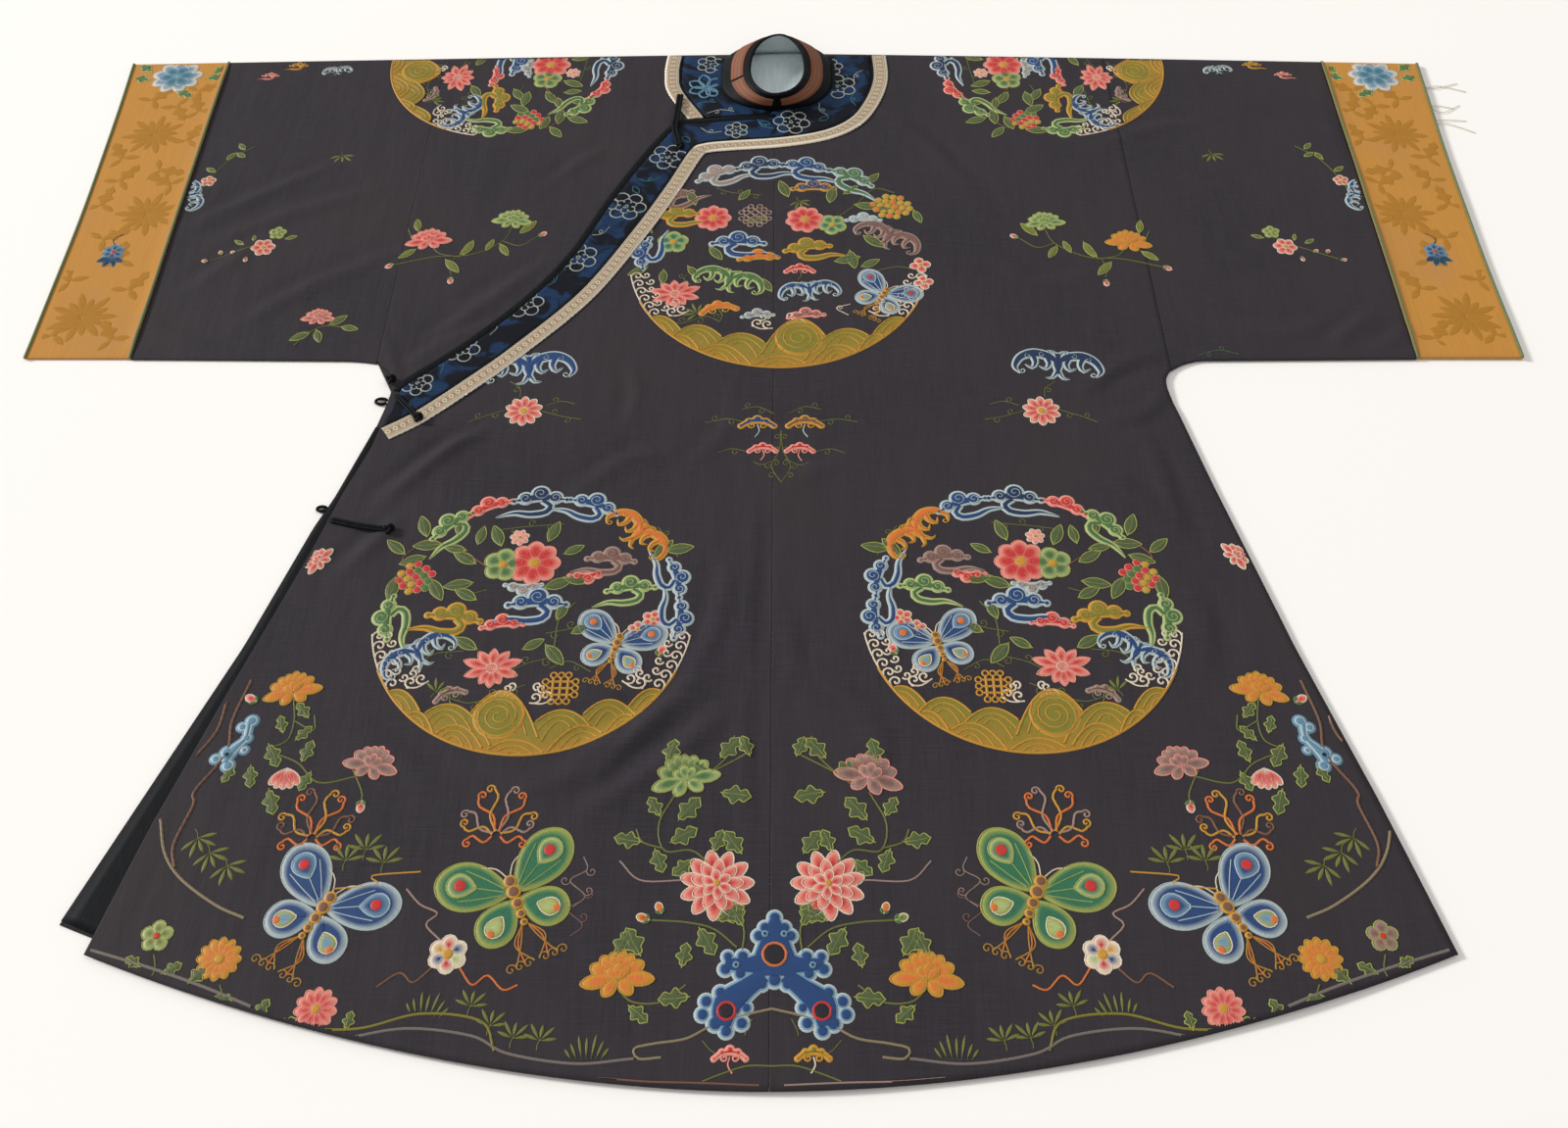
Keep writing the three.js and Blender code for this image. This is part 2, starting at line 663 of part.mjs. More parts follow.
// A band round the stand between two turns and two shares of its height, from one depth to another
// along the face's own direction
function collarBand(turns, ups, from, to) {
  const step = 0.002;
  const place = (turn, up, out) => {
    const here = standAt(turn, up);
    const along = standAt(turn + step, up).sub(standAt(turn - step, up));
    const rise = standAt(turn, Math.min(up + step, 1)).sub(standAt(turn, Math.max(up - step, 0)));
    return here.addScaledVector(along.cross(rise).normalize(), out);
  };
  const grid = (out) => turns.map((turn) => ups.map((up) => place(turn, up, out)));
  return wallBetween(grid(to), grid(from));
}

function collar() {
  const slit = 0.002;
  const ribbonStart = 0.012;
  const even = shares(46).map((share) => ribbonStart + share * (1 - 2 * ribbonStart));
  const turns = [slit, ...even, 1 - slit];
  const ups = [0, 0.37, 0.59, 0.81, 1];
  add("collar_stand", collarBand(turns, ups, -COLLAR.wall, 0), BLACK_SATIN);
  const leftSplit = 37; // the mitred join on the wearer's right
  const ribbonUps = ups.slice(1, 4);
  const ribbon = (from, to) =>
    collarBand(turns.slice(from, to), ribbonUps, GAP, GAP + COLLAR.ribbon);
  add("collar_ribbon_long", ribbon(1, leftSplit), RUST_RIBBON);
  add("collar_ribbon_short", ribbon(leftSplit, turns.length - 1), RUST_RIBBON);
}

// ---- closures ----

// Straps lie from x0, y0 to x1, y1, with a knot at the far end.
const OVER_BINDING = TOP_OF_OVERLAP + GAP + BINDING + GAP;
const STRAPS = [
  { name: "collarbone", x0: -126, y0: 1276, x1: -121, y1: 1170, wide: 9, z: OVER_BINDING },
  { name: "armpit", x0: -418, y0: 742, x1: -389, y1: 709, wide: 7, z: OVER_BINDING },
  { name: "side", x0: -459, y0: 571, x1: -396, y1: 558, wide: 7, z: TOP_OF_OVERLAP + 2 * GAP },
];
const KNOT = 5.5;
const STRAP_THICK = 1.8;

function knot(name, x, y, z) {
  const ball = new THREE.SphereGeometry(KNOT, 12, 8).scale(1, 1, 0.6);
  ball.translate(x, y, z + KNOT * 0.6);
  add(`closure_knot_${name}`, ball, BLACK_SATIN);
}

function strap({ name, x0, y0, x1, y1, wide, z }) {
  const turn = Math.atan2(y1 - y0, x1 - x0);
  const long = Math.hypot(x1 - x0, y1 - y0);
  const shape = new THREE.Shape();
  shape.absarc(wide / 2, 0, wide / 2, Math.PI / 2, Math.PI * 1.5);
  shape.lineTo(long - KNOT - GAP, -wide / 2);
  shape.lineTo(long - KNOT - GAP, wide / 2);
  const options = { depth: STRAP_THICK, bevelEnabled: false, curveSegments: 6 };
  const geometry = new THREE.ExtrudeGeometry(shape, options);
  geometry.rotateZ(turn).translate(x0, y0, z);
  add(`closure_strap_${name}`, geometry, BLACK_SATIN);
  knot(name, x1, y1, z);
}

// A small cord loop that sticks out past the open edge of the back at a height y
function loop(name, y, long, wide) {
  const half = wide / 2;
  const cord = 1.2;
  const x = -halfEdgeAt(RIGHT, y - half) - 3 * GAP;
  const z = cord + GAP;
  const bend = shares(10).map((share) => {
    const angle = Math.PI / 2 + share * Math.PI;
    return new THREE.Vector3(x - long + half + half * Math.cos(angle), y + half * Math.sin(angle), z);
  });
  const root = (side) => new THREE.Vector3(x, y + side * half, z);
  const path = new THREE.CatmullRomCurve3([root(1), ...bend, root(-1)]);
  const section = new THREE.Shape();
  section.absarc(0, 0, cord, 0, 2 * Math.PI);
  const options = { steps: 20, extrudePath: path, curveSegments: 3 };
  add(name, new THREE.ExtrudeGeometry(section, options), BLACK_SATIN);
}

bodyLeft();
bodyRight();
overlapFront();
sleeve("sleeve_left", LEFT, LEFT_LEVEL);
sleeve("sleeve_right", RIGHT, RIGHT_LEVEL);
cuff("left", 1, LEFT_LEVEL);
cuff("right", -1, RIGHT_LEVEL);
sideFacing();
neckLining();
yokeMain();
yokeShoulder();
trims();
overlapBinding();
collar();
STRAPS.forEach(strap);
knot("underarm", -429, 768, TOP_OF_RIGHT + GAP);
loop("closure_loop_armpit", 738, 12, 8);
loop("closure_loop_side", 588, 9, 6);

const box = new THREE.Box3().setFromObject(robe);
const middle = box.getCenter(new THREE.Vector3());
robe.position.set(-middle.x, -middle.y, -box.min.z);

export default robe;
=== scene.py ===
"""A silk robe laid flat on its back: cloth, neck bands, collar, closures and needlework."""

import math  # noqa: E402

import bpy  # noqa: E402
import numpy as np  # noqa: E402
from bpy.props import FloatProperty, FloatVectorProperty, PointerProperty  # noqa: E402
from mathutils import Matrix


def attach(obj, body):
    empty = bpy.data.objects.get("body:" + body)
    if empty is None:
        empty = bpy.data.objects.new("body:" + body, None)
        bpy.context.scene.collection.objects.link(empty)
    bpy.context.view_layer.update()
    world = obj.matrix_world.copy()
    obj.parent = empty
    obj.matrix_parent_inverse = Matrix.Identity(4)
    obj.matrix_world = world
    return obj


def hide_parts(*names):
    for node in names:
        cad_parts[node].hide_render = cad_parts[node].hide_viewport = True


bl_info = {
    "name": "Embroidered silk robe",
    "version": (1, 0, 0),
    "blender": (4, 5, 0),
    "location": "3D View > Sidebar > Robe",
    "description": "Builds a silk robe laid flat, with its bands, collar and needlework",
    "category": "Add Mesh",
}

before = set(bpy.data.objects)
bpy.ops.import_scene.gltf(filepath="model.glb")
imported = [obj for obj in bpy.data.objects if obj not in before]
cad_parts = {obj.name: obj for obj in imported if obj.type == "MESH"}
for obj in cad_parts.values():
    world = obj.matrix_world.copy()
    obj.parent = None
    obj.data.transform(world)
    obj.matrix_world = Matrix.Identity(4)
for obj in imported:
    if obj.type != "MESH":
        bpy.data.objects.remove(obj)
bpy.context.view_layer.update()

# ---- sizes in millimetres: x = 0 is the centre seam, y = 0 the middle of the front hem ----

LENGTH = 1374  # shoulder fold to hem
WALL = 1.2  # a lined silk panel
GAP = 0.3  # between layers and at seams
LAYER = WALL + GAP
LEFT_TOP = 3 * LAYER - GAP  # top of the left front and of the overlap
RIGHT_TOP = 2 * LAYER - GAP  # top of the right front, which lies under the overlap
CLOTH = 0.9  # thickness of the cloth shells
HEM_HALF, HEM_RISE, HEM_POWER, BACK_HEM_LIFT = 583, 112, 1.9, 12
SLEEVE_SEAM, SLEEVE_FOOT, UNDERARM_CURVE = 450, 799, 40
SHOULDER_DROP, SHOULDER_POWER = 23, 1.2
CUFF_TOP_IN, CUFF_FOOT_IN = 746, 731.5
CUFF_TOP_OUT, CUFF_FOOT_OUT, CUFF_FOOT, CUFF_HOLLOW = 877, 853, 803, 5
NECK_Y, NECK_HALF_X, NECK_HALF_Y = 1309, 62, 56
FACING_TOP, FACING_FOOT, FACING_WIDE_TOP, FACING_WIDE_FOOT = 700, 146, 8, 50
FACING_SLOPE = 20  # how far the facing's foot falls from its outer to its inner edge
BAND_LEVEL = LEFT_TOP + GAP  # underside of the bands on the overlap
SHOULDER_BAND_LEVEL = RIGHT_TOP + GAP
BINDING_WIDE = 9
TRIM_WIDE = 20.5
STEP = 7  # between points of the cloth meshes

# Side edges as (y, x), from the hem to the armpit
SIDE_LEFT = [(112, 584), (261, 550), (419, 510), (613, 468), (752, 440)]
OVERLAP_SIDE = [
    (112, 582), (233, 555), (418, 504), (534, 471), (605, 454), (670, 434), (699, 429), (746, 426),
]
BACK_RIGHT = [(139, 612), (419, 516), (564, 476), (602, 462), (650, 449), (701, 435), (746, 427)]
LEFT_HALF = {"way": 1, "armpit": (440, 752), "drop": 15, "side": SIDE_LEFT}
RIGHT_HALF = {"way": -1, "armpit": (426, 746), "drop": 4, "side": BACK_RIGHT}

# The slanting edge of the overlap, and the outer edges of the satin band, as (x, y)
SLANT = [
    (0, 1240), (-92, 1230), (-127, 1225), (-158, 1180), (-206, 1079), (-247, 976),
    (-291, 902), (-351, 829), (-415, 767), (-426, 750),
]
BAND_EDGE = [
    (131, 1366), (132, 1322), (126, 1289), (112, 1253), (97, 1230), (74, 1212), (45, 1200),
    (0, 1191), (-55, 1186), (-93, 1180), (-110, 1165), (-138, 1095), (-175, 1012),
    (-228, 910), (-297, 822), (-347, 768), (-396, 720), (-428, 697),
]
SHOULDER_BAND_EDGE = [(-127, 1366), (-129, 1344), (-129, 1324), (-124, 1292), (-93, 1234)]

# Creases in the cloth: start, middle and end of each line, half width and height
CREASES = [
    (-722, 1021, -661, 1069, -558, 1144, 10, 2.6),
    (-685, 992, -596, 1051, -499, 1088, 12, 2.2),
    (-623, 853, -546, 921, -451, 980, 11, 2.2),
    (-699, 905, -658, 955, -618, 1015, 10, 1.6),
    (-723, 844, -662, 825, -590, 807, 10, 1.8),
    (-382, 869, -324, 913, -271, 963, 10, 2.6),
    (-404, 825, -354, 872, -302, 921, 9, 2.4),
    (-420, 790, -371, 833, -329, 856, 8, 2.0),
    (-284, 1097, -251, 1144, -210, 1177, 9, 1.6),
    (-445, 841, -433, 802, -424, 772, 6, 1.6),
    (-300, 1254, -263, 1275, -199, 1296, 10, 1.4),
    (-410, 596, -375, 638, -328, 693, 10, 2.8),
    (-367, 652, -333, 679, -309, 693, 8, 1.8),
    (-438, 499, -415, 535, -386, 573, 10, 2.2),
    (-205, 611, -156, 652, -94, 665, 11, 1.8),
    (-159, 693, -152, 750, -166, 795, 8, 1.2),
    (-93, 638, -52, 693, -43, 765, 10, 1.3),
    (-16, 585, -21, 487, -23, 395, 7, 1.9),
    (-20, 395, -24, 311, -18, 213, 7, 1.4),
    (-204, 280, -135, 321, -63, 384, 13, 3.2),
    (-173, 237, -97, 295, -39, 352, 11, 3.4),
    (-167, 271, -117, 331, -82, 374, 7, 1.8),
    (-82, 374, -56, 440, -43, 535, 10, 2.0),
    (-258, 280, -203, 271, -151, 290, 10, 1.8),
    (-371, 311, -312, 280, -257, 271, 10, 1.6),
    (18, 463, 23, 417, 20, 374, 7, 1.4),
    (12, 611, 43, 638, 86, 652, 10, 1.4),
    (148, 1244, 202, 1174, 257, 1078, 11, 2.0),
    (417, 1174, 499, 1213, 565, 1223, 11, 1.8),
    (448, 810, 401, 795, 340, 750, 9, 2.2),
    (440, 757, 412, 721, 367, 707, 8, 1.8),
    (407, 693, 416, 611, 429, 535, 10, 1.8),
    (326, 638, 374, 611, 418, 560, 10, 1.6),
    (418, 499, 427, 440, 411, 374, 11, 1.6),
    (68, 374, 103, 311, 83, 251, 10, 1.2),
    (630, 815, 662, 844, 698, 876, 8, 2.8),
    (680, 812, 709, 830, 730, 849, 7, 2.2),
    (726, 1296, 728, 1213, 724, 1116, 7, 1.6),
    (512, 856, 577, 841, 648, 856, 11, 1.4),
    (250, 989, 314, 921, 386, 938, 12, 1.4),
]


# ---- colours and nodes ----


def linear(hex_colour):
    """An sRGB hex colour as the linear RGBA that shaders use."""
    parts = [int(hex_colour[i : i + 2], 16) / 255 for i in (1, 3, 5)]
    return [c / 12.92 if c <= 0.04045 else ((c + 0.055) / 1.055) ** 2.4 for c in parts] + [1.0]


def colour_prop(name, description, hex_colour):
    colour = linear(hex_colour)[:3]
    return FloatVectorProperty(
        name=name, description=description, default=colour, size=3, min=0, max=1, subtype="COLOR"
    )


class RobeSizes(bpy.types.PropertyGroup):
    """Sizes that change the look of the cloth and the needlework."""

    crease: FloatProperty(
        name="Crease strength",
        description="How strongly the creases stand in the cloth, as a share",
        default=1.35,
        min=0,
        max=2,
        subtype="FACTOR",
    )
    couched: FloatProperty(
        name="Couched thread",
        description="Width of the threads laid along outlines and stems",
        default=0.0018,
        min=0.0008,
        max=0.004,
        unit="LENGTH",
    )
    padding: FloatProperty(
        name="Stitch padding",
        description="How far satin stitches stand over the cloth",
        default=0.0007,
        min=0.0001,
        max=0.002,
        unit="LENGTH",
    )


class RobeColours(bpy.types.PropertyGroup):
    """Colours of the robe's own silks."""

    ground: colour_prop("Ground silk", "Dark silk gauze of the robe", "#322e33")
    damask: colour_prop("Damask", "Gold silk of the cuffs", "#b9823a")
    satin: colour_prop("Black satin", "Bindings, collar stand and closures", "#07080a")
    brocade: colour_prop("Blue brocade", "Woven blue of the neck band", "#18304f")
    cream: colour_prop("Cream ribbon", "Ribbon beside the neck band", "#ddd0ba")
    rust: colour_prop("Rust ribbon", "Ribbon round the collar", "#7c452a")
    piping: colour_prop("Piping", "Narrow silk on the cuffs' long edges", "#5d6b41")
    lining: colour_prop("Lining", "Silk inside the neck", "#ccd6d6")


def robe_colour(name):
    return [*getattr(bpy.context.scene.robe_colours, name), 1.0]


def shaded(colour, share):
    """A colour made darker or lighter by a share."""
    return [min(1.0, part * share) for part in colour[:3]] + [1.0]


class Stuff:
    """A material in the making, with its node tree and the coordinates that its threads follow."""

    def __init__(self, name, follows="Object"):
        self.material = bpy.data.materials.new(name)
        self.material.use_nodes = True
        self.material.node_tree.nodes.clear()
        if follows == "Weave":
            self.place = self.node("UVMap", {}, uv_map="Weave")
        elif follows:
            self.place = self.node("TexCoord", {}, follows)

    def node(self, kind, inputs, output=0, **settings):
        """Add a shader node with its settings, its inputs set or linked, and give one output."""
        tree = self.material.node_tree
        made = tree.nodes.new("ShaderNode" + kind)
        for name, value in settings.items():
            setattr(made, name, value)
        for socket, value in inputs.items():
            if isinstance(value, bpy.types.NodeSocket):
                tree.links.new(value, made.inputs[socket])
            else:
                made.inputs[socket].default_value = value
        return made.outputs[output] if made.outputs else None

    def threads(self, across, along, detail=3.0):
        """Noise drawn out into threads: features per metre across the threads and along them."""
        inputs = {"Vector": self.place, "Scale": (across, along, across)}
        turned = self.node("Mapping", inputs)
        return self.node("TexNoise", {"Vector": turned, "Scale": 1.0, "Detail": detail})

    def patches(self, scale, detail, distortion=0.0):
        inputs = {"Vector": self.place, "Scale": scale, "Detail": detail, "Distortion": distortion}
        return self.node("TexNoise", inputs)

    def spread(self, value, low, high, start=0.0, end=1.0):
        """The value spread so that low becomes the start and high becomes the end."""
        return self.node("MapRange", {0: value, 1: low, 2: high, 3: start, 4: end})

    def mixed(self, factor, first, second, **settings):
        return self.node("Mix", {0: factor, 6: first, 7: second}, 2, data_type="RGBA", **settings)

    def shades(self, threads, colour, dark, light):
        """A colour that varies with its threads between two shares of itself."""
        return self.mixed(self.spread(threads, 0.3, 0.7), shaded(colour, dark), shaded(colour, light))

    def raised(self, height, strength, distance, over=None):
        """Relief for the shader, in metres, laid over other relief if there is some."""
        inputs = {"Height": height, "Strength": strength, "Distance": distance}
        if over is not None:
            inputs["Normal"] = over
        return self.node("Bump", inputs)

    def finish(self, colour, roughness, specular=0.5, relief=None):
        inputs = {"Base Color": colour, "Roughness": roughness, "Specular IOR Level": specular}
        if relief is not None:
            inputs["Normal"] = relief
        self.node("OutputMaterial", {"Surface": self.node("BsdfPrincipled", inputs)})
        return self.material


def silk_gauze():
    """Dark plain-weave silk, piece-dyed: a fine slubby weave both ways and a soft, low sheen."""
    silk = Stuff("silk_gauze_dyed")
    ground = robe_colour("ground")
    weft = silk.threads(30, 900)  # slubs about 30 mm long and 1 mm apart
    warp = silk.threads(700, 24)
    colour = silk.shades(weft, ground, 0.82, 1.2)
    darker = silk.mixed(silk.spread(warp, 0.45, 0.75), colour, shaded(ground, 0.8))
    faded = [part * share for part, share in zip(ground, (1.12, 1.1, 0.98, 1))]
    aged = silk.mixed(silk.spread(silk.patches(5.0, 2.0), 0.35, 0.75), darker, faded)
    wrinkles = silk.threads(34, 9, 4.0)  # soft rumples, longer down the robe
    rumpled = silk.raised(wrinkles, 0.5, 0.004)
    return silk.finish(aged, 0.7, 0.12, silk.raised(weft, 0.12, 0.0006, rumpled))


def damask_ground():
    """Gold silk damask, the satin ground: smooth with fine warp lines and a soft shine."""
    silk = Stuff("silk_damask_ground")
    warp = silk.threads(900, 20)
    lines = silk.shades(warp, robe_colour("damask"), 0.93, 1.06)
    worn = silk.mixed(silk.spread(silk.patches(9.0, 3.0), 0.45, 0.8), lines, linear("#b07f48"))
    return silk.finish(worn, 0.65, 0.15, silk.raised(warp, 0.1, 0.0004))


def damask_figure():
    """The woven flowers of the damask, in weft: a little darker and duller than the ground."""
    silk = Stuff("silk_damask_figure")
    weft = silk.spread(silk.threads(20, 900), 0.3, 0.7)
    colour = silk.mixed(weft, linear("#a06f22"), shaded(robe_colour("damask"), 0.82))
    return silk.finish(colour, 0.7, 0.1)


def black_satin():
    """Black silk satin, cut on the bias: near black with thin bright ribs."""
    silk = Stuff("black_silk_satin")
    ribs = silk.threads(700, 60)
    colour = silk.mixed(silk.spread(ribs, 0.35, 0.75), robe_colour("satin"), linear("#121417"))
    return silk.finish(colour, 0.6, 0.1, silk.raised(ribs, 0.2, 0.0005))


def blue_brocade():
    """Black satin with woven blue patches, 20 to 60 mm across, soft at their edges."""
    silk = Stuff("blue_black_brocade")
    patches = silk.spread(silk.patches(24.0, 2.5, 1.2), 0.47, 0.57)
    ribs = silk.threads(60, 800)
    woven = silk.shades(ribs, robe_colour("brocade"), 0.7, 1.2)
    colour = silk.mixed(patches, linear("#0c1018"), woven)
    return silk.finish(colour, 0.6, 0.12, silk.raised(ribs, 0.2, 0.0005))


def lining_silk():
    """Pale plain silk lining, thin and matt."""
    silk = Stuff("pale_silk_lining")
    colour = silk.shades(silk.threads(600, 30), robe_colour("lining"), 0.88, 1.08)
    return silk.finish(colour, 0.9, 0.1)


def ribbon_weave(name, ground, figures, repeat, wide):
    """A woven ribbon: small diamonds along its middle in figure colours, and ribs across.

    The ribbon's own coordinates run along it and across it in metres.
    """
    silk = Stuff(name, "Weave")
    rim, first, second, rule, bed = (linear(colour) for colour in figures)

    def sums(operation, a, b=0.0, c=0.0):
        return silk.node("Math", {0: a, 1: b, 2: c}, operation=operation)

    along = silk.node("SeparateXYZ", {0: silk.place})
    across = along.node.outputs[1]
    cell = sums("DIVIDE", along, repeat)
    saw = sums("ABSOLUTE", sums("SUBTRACT", sums("FRACT", cell), 0.5))
    middle = sums("ABSOLUTE", sums("DIVIDE", across, wide))
    diamond = sums("ADD", saw, sums("MULTIPLY", middle, 1.9))
    links = silk.spread(sums("ADD", sums("SUBTRACT", 0.5, saw), middle), 0.16, 0.08)
    ruled = silk.spread(sums("ABSOLUTE", sums("SUBTRACT", middle, 0.33)), 0.035, 0.015)
    hearts = silk.mixed(sums("MODULO", sums("FLOOR", cell), 2.0), first, second)
    ribs = silk.threads(900, 40)
    colour = silk.shades(ribs, ground, 0.9, 1.05)
    for factor, thread in (
        (silk.spread(middle, 0.29, 0.26), bed),
        (ruled, rule),
        (sums("MULTIPLY", silk.spread(diamond, 0.42, 0.30), 0.9), rim),
        (silk.spread(diamond, 0.20, 0.10), hearts),
        (sums("MULTIPLY", links, 0.8), rule),
    ):
        colour = silk.mixed(factor, colour, thread)
    return silk.finish(colour, 0.75, relief=silk.raised(ribs, 0.2, 0.0004))


def cream_ribbon():
    """Cream silk ribbon with small brown, rose and green figures every 9 mm."""
    figures = ("#cabca2", "#8e3b2e", "#5c6642", "#6e4f38", "#9c886c")
    return ribbon_weave("cream_woven_ribbon", robe_colour("cream"), figures, 0.009, 0.0205)


def rust_ribbon():
    """Rust silk ribbon with small dull green and red figures every 11 mm."""
    figures = ("#5c4a34", "#4c5638", "#8c3424", "#3c2f26", "#834826")
    return ribbon_weave("rust_woven_ribbon", robe_colour("rust"), figures, 0.011, 0.018)


def cuff_piping_silk():
    """Narrow olive-green silk piping, rolled, with fine ribs across it."""
    silk = Stuff("piping_silk")
    return silk.finish(silk.shades(silk.threads(60, 900), robe_colour("piping"), 0.8, 1.15), 0.6)


def silk_floss():
    """Embroidery silk in the colours of each stitch, with fine shiny lines along the stitches."""
    silk = Stuff("silk_floss", "Weave")
    dyed = silk.node("Attribute", {}, "Color", attribute_name="Thread")
    lines = silk.threads(1400, 90)  # threads about 0.7 mm apart
    light = silk.spread(lines, 0.3, 0.7, 0.8, 1.12)
    colour = silk.mixed(1.0, dyed, light, blend_type="MULTIPLY")
    return silk.finish(colour, 0.5, 0.3, silk.raised(lines, 0.3, 0.0004))


def undyed_thread():
    """Loose pale silk thread, matt, with a slight twist."""
    silk = Stuff("undyed_silk_thread")
    twist = silk.spread(silk.threads(900, 900), 0.3, 0.7)
    return silk.finish(silk.mixed(twist, linear("#b5ad96"), linear("#d3ccb6")), 0.8)


MATERIALS = {}


def material(build):
    """Each material is built once and then shared."""
    if build not in MATERIALS:
        MATERIALS[build] = build()
    return MATERIALS[build]


# ---- outlines ----


def at_height(table, y):
    ys, xs = zip(*table)
    return np.interp(y, ys, xs)


def hem_at(x):
    return HEM_RISE * (np.abs(x) / HEM_HALF) ** HEM_POWER


def back_hem_at(x):
    return hem_at(x) + BACK_HEM_LIFT


def shoulder_at(x):
    return LENGTH - SHOULDER_DROP * (np.abs(x) / CUFF_TOP_OUT) ** SHOULDER_POWER


def sleeve_foot_at(half, x):
    inside = np.clip(SLEEVE_SEAM + UNDERARM_CURVE - x, 0, None) / UNDERARM_CURVE
    to_cuff = np.clip(x - SLEEVE_SEAM, 0, None) / (CUFF_FOOT_OUT - SLEEVE_SEAM)
    return SLEEVE_FOOT + (CUFF_FOOT - SLEEVE_FOOT) * to_cuff - half["drop"] * inside**2


def half_edge_at(half, y):
    """The outer edge of a half: side, underarm curve, then the sleeve's seam."""
    armpit_x, armpit_y = half["armpit"]
    seam_foot = sleeve_foot_at(half, SLEEVE_SEAM)
    up = np.clip((y - armpit_y) / (seam_foot - armpit_y), 0, 1)
    curve = armpit_x + (SLEEVE_SEAM - armpit_x) * up**4
    return np.where(y <= armpit_y, at_height(half["side"], y), curve)


def facing_wide_at(y):
    return np.interp(y, [FACING_FOOT, FACING_TOP], [FACING_WIDE_FOOT, FACING_WIDE_TOP])


def smooth_line(points, step):
    """Points every step or so along a smooth line through the given ones."""
    line = np.array(points, float)
    ends = np.vstack([2 * line[0] - line[1], line, 2 * line[-1] - line[-2]])
    made = []
    for i in range(1, len(ends) - 2):
        a, b, c, d = ends[i - 1 : i + 3]
        count = max(1, round(float(np.linalg.norm(c - b)) / step))
        t = (np.arange(count) / count)[:, None]
        made.append(
            0.5
            * (2 * b + (c - a) * t + (2 * a - 5 * b + 4 * c - d) * t**2 + (3 * b - a - 3 * c + d) * t**3)
        )
    made.append(line[-1:])
    return np.vstack(made)


def run_along(line):
    """How far along a line each of its points lies."""
    return np.concatenate([[0], np.cumsum(np.linalg.norm(np.diff(line, axis=0), axis=1))])


def evenly(line, count):
    """The same line as a set number of points, evenly apart."""
    line = np.asarray(line, float)
    run = run_along(line)
    places = np.linspace(0, run[-1], count)
    return np.stack([np.interp(places, run, line[:, k]) for k in range(line.shape[1])], axis=1)


def side_of(line):
    """Unit vectors to the left of the way that a flat line runs."""
    along = np.gradient(np.asarray(line, float), axis=0)
    along /= np.linalg.norm(along, axis=1)[:, None] + 1e-9
    return np.stack([-along[:, 1], along[:, 0]], axis=1)


# ---- the lie of the cloth ----


def crease_height(x, y):
    """How far creases lift or sink the cloth at points, in millimetres, before their strength."""
    high = 0.35 * np.sin(x / 61 + 1.3) * np.sin(y / 83 + 0.4) + 0.25 * np.sin((x + y) / 37)
    for x0, y0, x1, y1, x2, y2, half, height in CREASES:
        line = smooth_line([(x0, y0), (x1, y1), (x2, y2)], 18)
        near = np.full(np.shape(x), 1e9)
        offset = np.zeros(np.shape(x))
        share = np.zeros(np.shape(x))
        for i in range(len(line) - 1):
            (ax, ay), (bx, by) = line[i], line[i + 1]
            long = math.hypot(bx - ax, by - ay)
            ux, uy = (bx - ax) / long, (by - ay) / long
            run = np.clip((x - ax) * ux + (y - ay) * uy, 0, long)
            dx, dy = x - ax - run * ux, y - ay - run * uy
            away = np.hypot(dx, dy)
            closer = away < near
            near = np.where(closer, away, near)
            offset = np.where(closer, away * np.sign(ux * dy - uy * dx + 1e-9), offset)
            share = np.where(closer, (i + run / long) / (len(line) - 1), share)
        fade = np.sin(np.pi * np.clip(share, 0.02, 0.98)) ** 0.7
        away = offset / half
        high = high + fade * height * (np.exp(-(away**2)) - 0.7 * np.exp(-((away - 1.6) ** 2)))
    return high


RELIEF_STEP, RELIEF_X, RELIEF_Y = 4.0, -900, -20  # the grid's step and its first corner
RELIEF = {}


def relief(x, y):
    """The height of the creases at points, read off a grid that is worked out once."""
    if not RELIEF:
        columns, rows = np.arange(RELIEF_X, 901, RELIEF_STEP), np.arange(RELIEF_Y, 1401, RELIEF_STEP)
        high = crease_height(*np.meshgrid(columns, rows, indexing="ij"))
        RELIEF["grid"] = high * bpy.context.scene.robe_sizes.crease
    grid = RELIEF["grid"]
    at_x = np.clip((np.asarray(x, float) - RELIEF_X) / RELIEF_STEP, 0, grid.shape[0] - 1.001)
    at_y = np.clip((np.asarray(y, float) - RELIEF_Y) / RELIEF_STEP, 0, grid.shape[1] - 1.001)
    i, j = at_x.astype(int), at_y.astype(int)
    u, v = at_x - i, at_y - j
    near = grid[i, j] * (1 - v) + grid[i, j + 1] * v
    far = grid[i + 1, j] * (1 - v) + grid[i + 1, j + 1] * v
    return near * (1 - u) + far * u


def on_overlap(x, y):
    """Whether points of the front lie on the overlap or the left front, not the lower right."""
    slant_y = np.interp(-x, [-p[0] for p in SLANT], [p[1] for p in SLANT])
    armpit_x, armpit_y = RIGHT_HALF["armpit"]
    under_slant = (x > -armpit_x) & (y < slant_y)
    under_arm = (x <= -armpit_x) & (y < armpit_y) & (-x < at_height(OVERLAP_SIDE, y))
    return (x >= 0) | under_slant | under_arm


def cloth_top(x, y):
    """Height of the front's upper face at points."""
    level = np.where(on_overlap(x, y), LEFT_TOP, RIGHT_TOP)
    calm = np.clip((shoulder_at(x) - y) / 40, 0, 1)
    return np.maximum(level + calm * relief(x, y), 1.4)


# ---- pieces ----


def to_metres(points):
    moved = np.array(points, float).reshape(-1, 3)
    moved[:, 1] -= LENGTH / 2
    return moved / 1000


